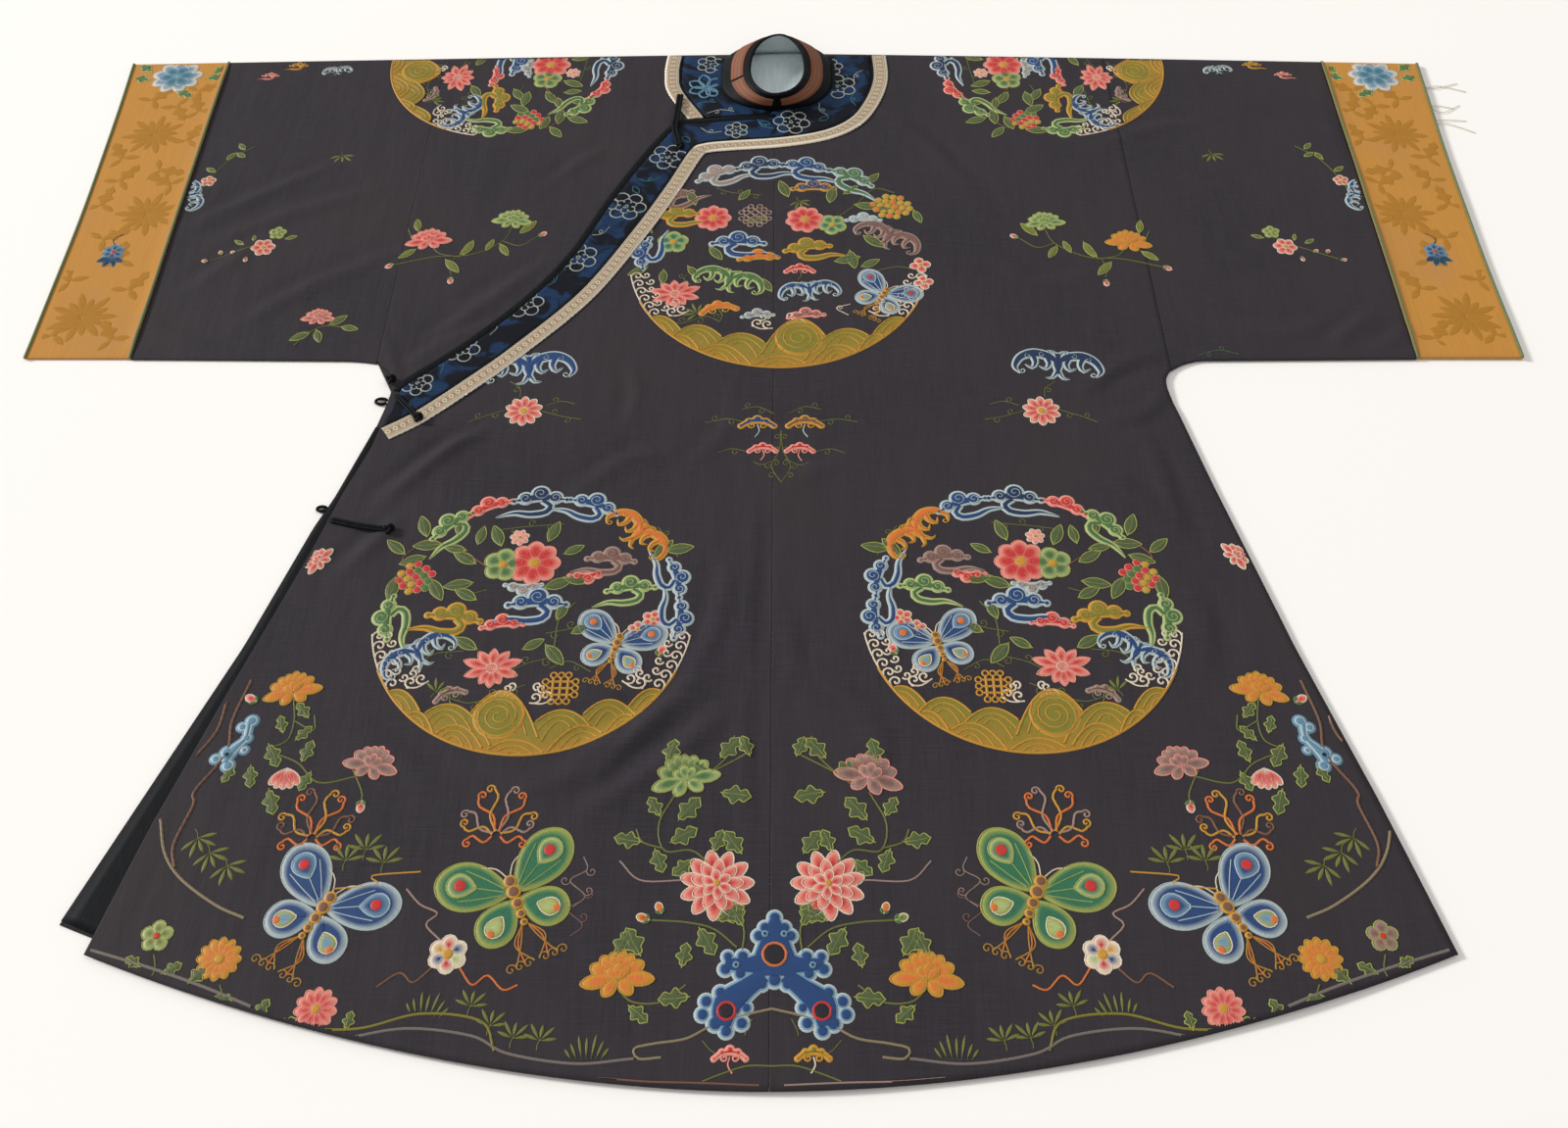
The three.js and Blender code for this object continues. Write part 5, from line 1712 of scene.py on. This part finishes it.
class ROBE_OT_roundels(bpy.types.Operator):
    """Stitch the roundels of the chest, the skirt and the shoulders"""

    bl_idname = "robe.roundels"
    bl_label = "Roundels"

    def execute(self, context):
        for name, motif, *place in (
            ("chest_roundel", chest_roundel, 6, 967, 0, 1.13),
            ("skirt_roundel_left", skirt_roundel, 247, 461),
            ("skirt_roundel_right", skirt_roundel, -236, 459, 0, 1.0, True),
            ("shoulder_roundel_left", skirt_roundel, 369, 1353, 90, 1.0, True),
            ("shoulder_roundel_right", skirt_roundel, -364, 1355, -90),
        ):
            work = Needlework()
            motif(work.place(*place))
            work.finish(f"needlework_{name}")
        return {"FINISHED"}


def inside_cuffs(x, y):
    """Needlework of the chest and sleeves stops at the cuffs' inner edges."""
    return np.abs(x) < cuff_in((y - CUFF_FOOT) / (LENGTH - CUFF_FOOT)) - EDGE_CLEAR


class ROBE_OT_sprays(bpy.types.Operator):
    """Stitch the flowers, bats and tendrils scattered over sleeves and waist"""

    bl_idname = "robe.sprays"
    bl_label = "Scattered sprays"

    def execute(self, context):
        work = Needlework()
        shoulder_spray(work.place(385, 985), GREENS, ("gold", "orange", "gold"))
        shoulder_spray(work.place(-375, 990, 0, 1, True), GREENS, ROSE)
        for flip, x in ((False, 632), (True, -632)):
            cuff_sprigs(work.place(x, 990, 0, 1, flip))
            sprig(work.place(-556 if flip else 562, 1160, 190, 1.1))
            bat(work.place(-595 if flip else 601, 1336, 8, 0.42), "frost", "navy")
            cloud(work.place(-650 if flip else 650, 1349, 0, 0.5, flip), "gold", "moss")
            cloud(work.place(-684 if flip else 688, 1327, 0, 0.45, flip), "pink", "brown")
        camellia = work.place(-530, 862)
        stem(camellia, [(-20, -40), (-4, -18), (14, -8), (44, -14)], "moss")
        leaves = [(16, -6, -50), (30, -10, -100), (-6, -20, 120), (2, -16, 200)]
        stitch_leaves(camellia, leaves, 20, 9)
        peony(camellia.at(0, 4, 0, 0.6), "pink", "plum", "pink")
        scroll(work.place(508, 806), [(-26, 0), (0, 8), (22, 2)], "green", 4)
        bat(work.place(322, 792, -6, 1.05, True), "frost", "navy")
        bat(work.place(-276, 786, 6, 1.1), "frost", "blue")
        for x, flip in ((296, False), (-275, True)):
            place = work.place(x, 722, 0, 1, flip)
            for line in (
                [(20, 2), (44, -8), (60, -16)],
                [(-20, 0), (-44, -8), (-64, -12)],
                [(-24, 8), (-40, 14), (-56, 10)],
                [(6, 20), (8, 34), (20, 44)],
            ):
                scroll(place, line, "moss", 4.5)
            flower(place, 10, 21, 10, *PINK)
        middle = work.place(9, 684)
        for half in middle.halves():
            for line in (
                [(0, -62), (10, -40), (2, -18), (0, 10)],
                [(8, 34), (26, 44), (44, 40)],
                [(40, 22), (62, 26), (84, 22)],
                [(36, -20), (54, -16), (68, -22)],
                [(4, -30), (20, -38), (30, -34)],
            ):
                scroll(half, line, "moss", 4.5)
        fungus(middle.at(-26, 18, 0, 1.0), "gold", "blue", "frost")
        fungus(middle.at(26, 18, 0, 1.0, True), "gold", "brown", "frost")
        fungus(middle.at(-20, -18, 0, 0.8), *ROSE)
        fungus(middle.at(20, -18, 0, 0.8, True), *ROSE)
        for place in (work.place(-461, 520, 60), work.place(472, 526, -60)):
            peony(place.at(0, 0, 0, 0.55), *PINK)
        work.finish("needlework_scattered_sprays", within=inside_cuffs)
        return {"FINISHED"}


CENTRE_LEAVES = [
    (22, 300, -20), (48, 298, 40), (58, 282, -60), (96, 292, 10), (46, 262, 100), (102, 240, -30),
    (84, 236, 40), (118, 214, -80), (90, 214, 60), (104, 206, 160), (72, 196, -130), (52, 206, 20),
    (28, 204, -35), (46, 142, 60), (26, 138, -30), (62, 134, 150), (76, 102, 10), (70, 76, -95),
    (118, 68, 130), (132, 112, 25), (112, 112, -30),
]
SIDE_LEAVES = [
    (24, 8, -20), (34, -6, 150), (10, 0, 40), (46, -28, 170), (62, -26, -160), (0, -22, 15),
    (-10, -34, 200), (24, -52, 160), (4, 24, -40),
]


# One side of the lobes of the middle rock: x, y and radius
ROCK_SIDE = [
    (15, 62, 9), (9, 70, 9), (30, 42, 9), (44, 42, 8), (46, 30, 9), (32, 26, 9), (34, 10, 9),
    (50, 8, 9), (63, 0, 9), (66, -12, 9), (54, -20, 10), (44, -27, 9), (30, -20, 9), (26, -6, 8),
    (12, 16, 9),
]


def centre_garden(work):
    """Stems of flowers that rise on both sides of a blue rock at the middle of the hem."""
    for flip in (False, True):
        half = work.place(2, 0, 0, 1, flip)
        for line in (
            [(26, 112), (24, 132), (30, 152), (42, 170)],
            [(30, 118), (50, 134), (74, 140), (104, 142)],
            [(54, 192), (72, 206), (96, 206), (102, 232), (88, 262)],
            [(98, 208), (116, 214), (122, 226)],
            [(78, 266), (58, 282), (40, 302), (36, 320)],
            [(58, 282), (44, 290), (26, 300)],
            [(72, 86), (92, 72), (116, 72), (130, 84)],
        ):
            stem(half, line, "moss", 2.1)
        stitch_leaves(half, CENTRE_LEAVES, 24, 15, True)
        chrysanthemum(half.at(49, 176, -12, 1.06))
        peony(half.at(130, 92, -4, 0.95), "gold", "orange", "gold")
        bud(half.at(106, 142, -70, 0.9), "gold" if flip else "leaf", "red" if flip else "green")
        bud(half.at(96, 148, -20, 0.8), "orange", "orange")
        fungus(half.at(34, 27, 0, 0.72), *(ROSE if flip else ("gold", "olive", "cream")))
        for turn, x, y in ((-50, 46, 30), (20, 22, 44), (-30, 36, 44)):
            half.at(x, y, turn).couch([(0, 0), (0.6, 5), (0, 10), (-0.8, 15)], "moss", 1.3)
        ground = [(0, 66), (26, 60), (50, 52), (70, 42), (96, 38), (112, 34), (108, 26), (90, 27)]
        stem(half, ground, "tan", 2.6)
        stem(half, [(0, 20), (20, 20), (40, 14), (56, 8)], "moss", 1.8)
        stem(half, [(10, 5), (60, 7), (100, 8), (140, 11)], "mauve" if not flip else "brown", 1.9)
        stem(half, [(112, 26), (160, 22), (215, 30), (246, 44), (300, 50), (350, 42)], "dusk", 2.8)
        stem(half, [(226, 32), (240, 56), (290, 62), (340, 50), (395, 50)], "olive", 2.6)
        grass(half.at(150, 25, 0, 1.0))
        grass(half.at(286, 60, 8, 1.0))
        for x, y in ((250, 62), (232, 46), (212, 36), (190, 34)):
            sprig(half.at(x, y + 6, 8, 1.0))
    peony(work.place(-78, 276, 14, 0.98), *GREENS)
    peony(work.place(90, 278, -14, 0.98), "mauve", "plum", "pink")
    discs = [(0, 80, 9)]
    for x, y, radius in ROCK_SIDE:
        discs += [(-x, y, radius), (x, y, radius)]
    rock(
        work.place(4, 72, 0, 0.9),
        [*discs, (0, 20, 10)],
        [
            ([(0, 82), (0, 66), (0, 48), (0, 24)], (14, 30, 46, 34)),
            ([(-46, 35), (-24, 34), (0, 36), (24, 34), (46, 35)], (18, 22, 34, 22, 18)),
            ([(-10, 24), (-26, 12), (-44, -4), (-48, -22)], (22, 26, 34, 24)),
            ([(10, 24), (26, 12), (44, -4), (48, -22)], (22, 26, 34, 24)),
        ],
        [
            (0, 44, 11, "orange"), (-44, -9, 8, "red"), (44, -9, 8, "red"),
            (-36, 34, 2.2, "sky"), (36, 34, 2.2, "sky"), (-9, 64, 2.2, "sky"), (9, 64, 2.2, "sky"),
        ],
    )


def side_garden(place, first, last):
    """The branches, rock and flowers of one side of the skirt."""
    for line, thread in (
        ([(22, 46), (16, 20), (18, 0), (30, -8)], "moss"),
        ([(16, 20), (-4, 10), (-2, 26)], "moss"),
        ([(34, -12), (4, -24), (-20, -44), (-58, -36)], "moss"),
        ([(-48, -30), (-60, -52), (-62, -62)], "moss"),
        ([(66, 64), (74, 20), (72, -14), (92, -52), (90, -66), (98, -104), (92, -126)], "brown"),
        ([(84, 44), (86, 10), (100, -18)], "brown"),
        ([(116, -80), (104, -112), (84, -136), (48, -160), (20, -172)], "tan"),
    ):
        stem(place, line, thread, 2.0 if thread == "moss" else 3.0)
    stitch_leaves(place, SIDE_LEAVES, 22, 12, True)
    rock(
        place.at(62, -12, 12, 1.0),
        [(0, 32, 8), (6, 24, 7), (-3, 14, 7), (8, -4, 9), (16, -12, 7), (2, -16, 8), (-6, 2, 6)],
        [([(2, 30), (-2, 14), (4, 0), (6, -14)], (12, 10, 14, 12))],
        [(7, -6, 3, "steel")],
        ("steel", "frost", "steel"),
    )
    peony(place.at(24, 52, -14, 0.85), "gold", first, "gold")
    peony(place.at(-64, -26, 12, 0.8), "mauve", last, "pink")
    for turn in (140, 160, 180, 200, 220):
        petal(place.at(12, -30, turn), 21, 9, "pink", "red", 0.55, "cream")
    bud(place.at(56, 40, -60, 1.0))
    bud(place.at(-62, -62, 180, 0.9))
    for x, y in ((78, -98), (64, -112), (46, -124)):
        sprig(place.at(x, y, 150, 1.2))
    for x, y in ((-92, -122), (-74, -110), (-58, -120)):
        sprig(place.at(x, y, 0, 1.2))
    stem(place, [(-52, -146), (-90, -142), (-84, -134), (-126, -130)], "gold", 2.0)


class ROBE_OT_hem_garden(bpy.types.Operator):
    """Stitch the garden of flowers, rocks and butterflies above the hem"""

    bl_idname = "robe.hem_garden"
    bl_label = "Hem garden"

    def execute(self, context):
        work = Needlework()
        centre_garden(work)
        work.finish("needlework_hem_centre")
        for name, flip, x in (("left", False, 442), ("right", True, -433)):
            work = Needlework()
            side_garden(work.place(x, 316, 0, 1, flip), "orange", "plum")
            garden = work.place(x, 112, 0, 1, flip)
            butterfly(garden.at(-44, 36, 28, 0.98), "blue", "frost", "sky", "red")
            butterfly(garden.at(-212, 50, -24, 1.02), "jade", "leaf", "pale_green", "red")
            plume(garden.at(-24, 105, 0, 0.96))
            plume(garden.at(-188, 108, 0, 0.96), ("orange", "mauve", "gold"))
            ball = garden.at(-160, 0)
            for k, thread in enumerate(("red", "blue", "pale_green", "red", "blue", "gold")):
                petal(ball.at(turn=60 * k), 17, 14, "cream", thread, 0.5, "cream")
            ball.satin(circle(0, 0, 5), "gold", over=0.6)
            stem(ball, [(8, 12), (22, 26), (14, 36), (30, 44), (44, 58)], "mauve", 2.2)
            stem(ball, [(-12, -12), (-24, -26), (-36, -18), (-50, -30), (-62, -26)], "orange", 2.2)
            stem(ball, [(12, -12), (26, -24), (38, -16), (56, -28)], "brown", 2.2)
            for head, rise, thread in ((-262, 0, "plum"), (-268, 26, "mauve")):
                bends = ((head, 62), (-272, 50), (-258, 40), (-272, 26), (-262, 16))
                scroll(garden, [(across, up + rise) for across, up in bends], thread)
            stem(garden, [(-300, 84), (-320, 66), (-360, 66), (-366, 60)], "mauve", 2.0)
            hem_place = work.place(-440 if flip else 440, 96, 0, 1, flip)
            stem(hem_place, [(137, 20), (84, 5), (35, -11), (-10, -28)], "dusk", 3.2)
            flower(hem_place.at(26, 12), 12, 19, 9, "gold", "orange", "gold")
            flower(hem_place.at(-64, -30), 11, 18, 9, "pink", "red", "pink", "gold")
            edge, core = ("pale_green", "moss") if flip else ("mauve", "plum")
            flower(hem_place.at(84, 32), 5, 14, 12, edge, core, "leaf", "red")
            stem(hem_place, [(82, 16), (78, 4), (80, -6)], "moss", 1.8)
            stem(hem_place, [(20, -10), (14, -22), (10, -32)], "moss", 1.8)
            stitch_leaves(hem_place, HEM_LEAVES, 17, 11, True)
            work.finish(f"needlework_hem_{name}")
        return {"FINISHED"}


def rosette(place, radius, thread="grey"):
    """A couched flower: loops round a curl, twice over."""
    for k in range(6):
        at = place.at(turn=k * 60)
        at.couch(arc(0, radius * 0.68, radius * 0.36, -40, 220, 2.4), thread, 2.1)
        at.at(turn=30).couch(arc(0, radius * 0.34, radius * 0.2, -30, 210, 2), thread, 1.7)
    place.couch(spiral(0, 0, radius * 0.16, 1.2), thread, 1.6)


# Where the band's motifs lie: rosettes with their radius, scrolls, and petals with their turn
BAND_ROSETTES = [
    (84, 1298, 21), (74, 1340, 15), (22, 1222, 20), (-50, 1206, 13), (-136, 1152, 20),
    (-184, 1058, 21), (-236, 966, 20), (-292, 888, 19), (-356, 816, 18), (-398, 762, 15),
]
BAND_SCROLLS = [
    (110, 1322), (104, 1272), (62, 1248), (-14, 1216), (-84, 1204), (-158, 1108), (-212, 1010),
    (-262, 926), (-322, 850), (-376, 790), (-404, 728),
]
BAND_PETALS = [
    (-6, 1218, 70), (58, 1226, -60), (96, 1310, 10), (-110, 1182, 40), (-170, 1082, 30),
    (-250, 944, 40), (-340, 836, 50),
]


class ROBE_OT_band_motifs(bpy.types.Operator):
    """Couch the flowers and scrolls on the blue satin band"""

    bl_idname = "robe.band_motifs"
    bl_label = "Band motifs"

    def execute(self, context):
        work = Needlework()
        whole = work.place()
        for k, (x, y, radius) in enumerate(BAND_ROSETTES):
            rosette(whole.at(x, y, k * 40), radius * 1.15)
        for k, (x, y) in enumerate(BAND_SCROLLS):
            line = [(-14, -4), (0, 3), (14, -2)]
            scroll(whole.at(x, y, 60 + k * 25), line, "teal" if k % 2 else "grey", 4)
        for place in BAND_PETALS:
            outline = petal_outline(15, 8, 0.85, 1.0)
            whole.at(*place).couch(outline, "teal", 1.3, closed=True)
        work.finish("needlework_band", band_lie(BAND_LEVEL + 1.0), on_main_band)
        work = Needlework()
        place = work.place(-92, 1296)
        for turn, long in ((10, 22), (-40, 20), (60, 20), (110, 18), (-90, 18), (170, 16), (-140, 16)):
            at = place.at(0, 0, turn)
            at.couch(petal_outline(long * 1.3, 15, 0.7), "steel", 3.2, closed=True)
        place.couch(spiral(0, 0, 5, 1.4), "sky", 2.0)
        rosette(work.place(-88, 1348), 18)
        scroll(work.place(-96, 1262, 20), [(-18, 0), (0, 4), (18, -2)], "teal", 4)
        scroll(work.place(-72, 1246, 10), [(-18, 0), (0, 4), (18, -2)], "grey", 4)
        work.finish("needlework_shoulder_band", band_lie(SHOULDER_BAND_LEVEL + 1.0), on_shoulder_band)
        return {"FINISHED"}


def inside_outline(x, y, outline):
    """Whether points lie inside a closed outline."""
    inside = np.zeros(np.shape(x), bool)
    corners = np.asarray(outline, float)
    for (ax, ay), (bx, by) in zip(corners, np.roll(corners, -1, axis=0)):
        if ay != by:
            crosses = (ay > y) != (by > y)
            inside ^= crosses & (x < (bx - ax) * (y - ay) / (by - ay) + ax)
    return inside


def clear_of_collar(x, y):
    x_mid, y_mid, half_x, half_y, front_corner, back_corner = COLLAR_BASE
    foot = (x_mid, y_mid, half_x + 3, half_y + 3, front_corner, back_corner)
    return ~inside_outline(x, y, stand_edge(foot, np.radians(np.arange(0, 360, 5))))


def on_main_band(x, y):
    outer = smooth_line(BAND_EDGE, 12)
    slant = smooth_line(SLANT, 12)
    bound = slant + side_of(slant) * BINDING_WIDE
    band = np.concatenate([outer, bound[::-1], [(0, 1370)]])
    return inside_outline(x, y, band) & clear_of_collar(x, y)


def on_shoulder_band(x, y):
    edge = smooth_line(SHOULDER_BAND_EDGE, 12)
    outline = np.concatenate([edge, [(-60, 1240), (-20, 1243), (-20, 1370)]])
    return inside_outline(x, y, outline) & clear_of_collar(x, y)


CUFF_DEEP = 560  # from a cuff's foot to the shoulder fold

# Leaves on a cuff as (x from its middle, y, turn): woven ones, and those round its stitched bloom
DAMASK_LEAVES = [
    (-36, 830, -30), (36, 836, 20), (-30, 912, 30), (40, 926, -40), (-6, 960, 0), (26, 1000, 60),
    (-36, 1100, -60), (34, 1106, 30), (-10, 1130, 100), (40, 1150, -30), (-32, 1186, 20),
    (-34, 1246, -20), (36, 1270, 40), (0, 1262, 150), (-20, 1290, 60), (44, 1060, 10),
]
BLOOM_LEAVES = [
    (-28, 1318, 70), (-34, 1330, 40), (50, 1316, -80), (52, 1334, -50), (6, 1292, 120),
    (22, 1354, -70),
]


def inside_piping(x, y):
    up = np.clip(up_cuff(x, y), 0, 1)
    beside = (np.abs(x) > cuff_in(up) + 7) & (np.abs(x) < cuff_out(up) - CUFF_HOLLOW - 6)
    return beside & (y > CUFF_FOOT + 4)


class ROBE_OT_cuff_motifs(bpy.types.Operator):
    """Weave the flowers of the damask cuffs and lay their few coloured flowers"""

    bl_idname = "robe.cuff_motifs"
    bl_label = "Cuff motifs"

    def execute(self, context):
        for name, flip, top in (("left", False, LEFT_TOP), ("right", True, RIGHT_TOP)):

            def lie(x, y, top=top):
                lift = seam_lift(np.abs(x), cuff_in((y - CUFF_FOOT) / CUFF_DEEP))
                return top + lift + relief(x, y) * 0.9

            woven = Needlework()
            woven.rise = 0.28
            middle = -796 if flip else 796
            cuff = woven.place(middle, flip=flip)
            for x, y, turn in ((10, 868, 10), (-18, 1046, 40), (14, 1200, -20)):
                at = cuff.at(x, y, turn)
                for k in range(14):
                    shape = petal_outline(42 if k % 2 else 32, 10, 0.6)
                    at.at(0, 0, k * 360 / 14).satin(shape, "ochre")
            for place in DAMASK_LEAVES:
                at = cuff.at(*place)
                at.satin(lobed_outline(40, 20), "ochre")
                at.at(0, 4, 115).satin(petal_outline(24, 10, 0.8, 1.0), "ochre")
                at.at(0, 2, -115).satin(petal_outline(22, 9, 0.8, 1.0), "ochre")
            woven.finish(f"damask_figures_{name}", lie, inside_piping, damask_figure)
            work = Needlework()
            cuff = work.place(middle, flip=flip)
            bloom = cuff.at(14, 1322)
            for k in range(9):
                petal(bloom.at(0, 0, k * 40), 34, 19, "cream", "sky", 0.5, "frost")
            for k in range(6):
                petal(bloom.at(0, 0, 20 + k * 60), 23, 17, "sky", "teal", 0.5, "frost", 0.6)
            for place in BLOOM_LEAVES:
                leaf(cuff.at(*place), 26, 14, True, "pale_green", "green")
            small = cuff.at(4, 978)
            flower(small, 6, 14, 11, "sky", "navy", "sky", "red")
            for turn in (120, 160, 200, 240):
                leaf(small.at(0, -8, turn), 18, 8, False, "teal", "navy")
            stem(small, [(0, 10), (6, 22), (-4, 32)], "navy", 1.8)
            work.finish(f"cuff_flowers_{name}", lie, inside_piping)
        return {"FINISHED"}


def cord_knot(middle, size=4.6, radius=1.9):
    """A cord that winds over itself into a round button."""
    turn = np.linspace(0, 2 * np.pi, 90)
    x = np.sin(turn) + 2 * np.sin(2 * turn)
    y = np.cos(turn) - 2 * np.cos(2 * turn)
    z = -np.sin(3 * turn)
    return tube(np.array(middle) + np.stack([x, y, z * 1.2], axis=1) * size / 3, radius, 8)


def satin_cord(name, tubes):
    make_piece(name, *join_parts(tubes), black_satin, "black_satin", [name])


# Loose ends of silk at the left cuff: where each leaves the edge, a bend and its far end
LOOSE_THREADS = [
    ((870, 1301), (890, 1300), (921, 1311)),
    ((870, 1296), (894, 1304), (928, 1293)),
    ((867, 1262), (884, 1248), (911, 1264)),
    ((866, 1258), (880, 1262), (902, 1257)),
    ((864, 1230), (886, 1232), (911, 1231)),
    ((863, 1222), (884, 1224), (916, 1207)),
]


class ROBE_OT_loose_threads(bpy.types.Operator):
    """Let three pairs of silk ends hang out of the left cuff"""

    bl_idname = "robe.loose_threads"
    bl_label = "Loose threads"

    def execute(self, context):
        for k, points in enumerate(LOOSE_THREADS):
            flat = smooth_line(points, 2)
            line = np.column_stack([flat, np.linspace(2.2, 0.6, len(flat))])
            piece = make_piece(f"loose_thread_{k + 1}", *tube(line, 0.45, 6), undyed_thread)
            path = to_metres(line)
        return {"FINISHED"}


class ROBE_OT_closures(bpy.types.Operator):
    """Tie the black cord closures: straps, round knots and loops"""

    bl_idname = "robe.closures"
    bl_label = "Closures"

    def execute(self, context):
        straps = (
            ("collarbone", [(-126, 1276), (-129, 1232), (-130, 1205), (-122, 1170)], 6.5, 9, 2.3),
            ("armpit", [(-418, 742), (-402, 724), (-389, 709)], 6.5, 7, 1.8),
            ("side", [(-459, 571), (-427, 563), (-396, 558)], 5.0, 7, 1.8),
        )
        for name, points, level, wide, radius in straps:
            line = smooth_line(points, 4)
            end = points[-1]
            aside = side_of(line) * (wide / 2 - radius)
            rise = np.full(len(line), level + radius * 0.75) + 0.2 * np.sin(np.arange(len(line)) * 1.9)
            cords = [np.column_stack([line + way * aside, rise]) for way in (1, -1)]
            satin_cord(f"closure_strap_{name}", [tube(cord, radius, 8, 0.8) for cord in cords])
            satin_cord(f"closure_knot_{name}", [cord_knot((*end, level + 3.0))])
        satin_cord("closure_knot_underarm", [cord_knot((-429, 768, 6.2))])
        for name, y, long, wide in (("armpit", 738, 13, 8), ("side", 588, 10, 6)):
            edge = float(half_edge_at(RIGHT_HALF, np.array(float(y))))
            turn = np.radians(np.linspace(-150, 150, 24))
            middle = -(edge + long / 2)
            x = middle - long / 2 * np.cos(turn)
            line = np.stack([x, y + wide / 2 * np.sin(turn), np.full(24, 2.0)], axis=1)
            satin_cord(f"closure_loop_{name}", [tube(line, 1.7, 8)])
        return {"FINISHED"}


class ROBE_OT_stage(bpy.types.Operator):
    """Set the pale floor, the soft lights, the plain view colours and the camera"""

    bl_idname = "robe.stage"
    bl_label = "Stage"

    def execute(self, context):
        mesh = bpy.data.meshes.new("studio_floor")
        far = 4.0
        corners = [(-far, -far, 0), (far, -far, 0), (far, far, 0), (-far, far, 0)]
        mesh.from_pydata(corners, [], [(0, 1, 2, 3)])
        mesh.materials.append(Stuff("studio_paper", None).finish(linear("#f3efea"), 0.9))
        floor = bpy.data.objects.new("studio_floor", mesh)
        context.collection.objects.link(floor)
        floor.location.z = -0.0004
        world = bpy.data.worlds.new("studio_world")
        context.scene.world = world
        world.use_nodes = True
        world.node_tree.nodes["Background"].inputs[0].default_value = (1, 1, 1, 1)
        world.node_tree.nodes["Background"].inputs[1].default_value = 0.6
        lights = (
            ("studio_key", (-26.0, 8.0, 13.6), 5.2, 9000),
            ("studio_fill", (4.0, 1.0, 7.0), 4.0, 50),
        )
        for name, place, wide, watts in lights:
            lamp = bpy.data.lights.new(name, "AREA")
            lamp.size = wide
            lamp.energy = watts
            lamp_object = bpy.data.objects.new(name, lamp)
            context.collection.objects.link(lamp_object)
            lamp_object.location = place
            aim = -np.array(place)
            lamp_object.rotation_euler = (
                math.atan2(math.hypot(aim[0], aim[1]), -aim[2]),
                0,
                math.atan2(aim[1], aim[0]) - math.pi / 2,
            )
        camera = bpy.data.cameras.new("camera")
        camera.lens = 31.5
        camera.sensor_width = 36
        camera_object = bpy.data.objects.new("camera", camera)
        context.collection.objects.link(camera_object)
        camera_object.location = (0.012, (-284 - LENGTH / 2) / 1000, 1.1468)
        camera_object.rotation_euler = (math.radians(35), 0, 0)
        context.scene.camera = camera_object
        context.scene.view_settings.view_transform = "Standard"
        return {"FINISHED"}


OPERATORS = [
    ROBE_OT_stage,
    ROBE_OT_body,
    ROBE_OT_sleeves,
    ROBE_OT_neck_bands,
    ROBE_OT_collar,
    ROBE_OT_closures,
    ROBE_OT_roundels,
    ROBE_OT_sprays,
    ROBE_OT_hem_garden,
    ROBE_OT_band_motifs,
    ROBE_OT_cuff_motifs,
    ROBE_OT_loose_threads,
]


class ROBE_PT_panel(bpy.types.Panel):
    """Lists the robe's pieces in the sidebar"""

    bl_label = "Robe"
    bl_idname = "ROBE_PT_panel"
    bl_space_type = "VIEW_3D"
    bl_region_type = "UI"
    bl_category = "Robe"

    def draw(self, context):
        for group in (context.scene.robe_sizes, context.scene.robe_colours):
            for name in group.__annotations__:
                self.layout.prop(group, name)
        for operator in OPERATORS:
            self.layout.operator(operator.bl_idname)


CLASSES = [RobeSizes, RobeColours, *OPERATORS, ROBE_PT_panel]


def register():
    for made in CLASSES:
        bpy.utils.register_class(made)
    bpy.types.Scene.robe_sizes = PointerProperty(type=RobeSizes)
    bpy.types.Scene.robe_colours = PointerProperty(type=RobeColours)


def unregister():
    del bpy.types.Scene.robe_sizes
    del bpy.types.Scene.robe_colours
    for made in reversed(CLASSES):
        bpy.utils.unregister_class(made)


def main():
    register()
    for operator in OPERATORS:
        group, name = operator.bl_idname.split(".")
        getattr(getattr(bpy.ops, group), name)()


if __name__ == "__main__":
    main()
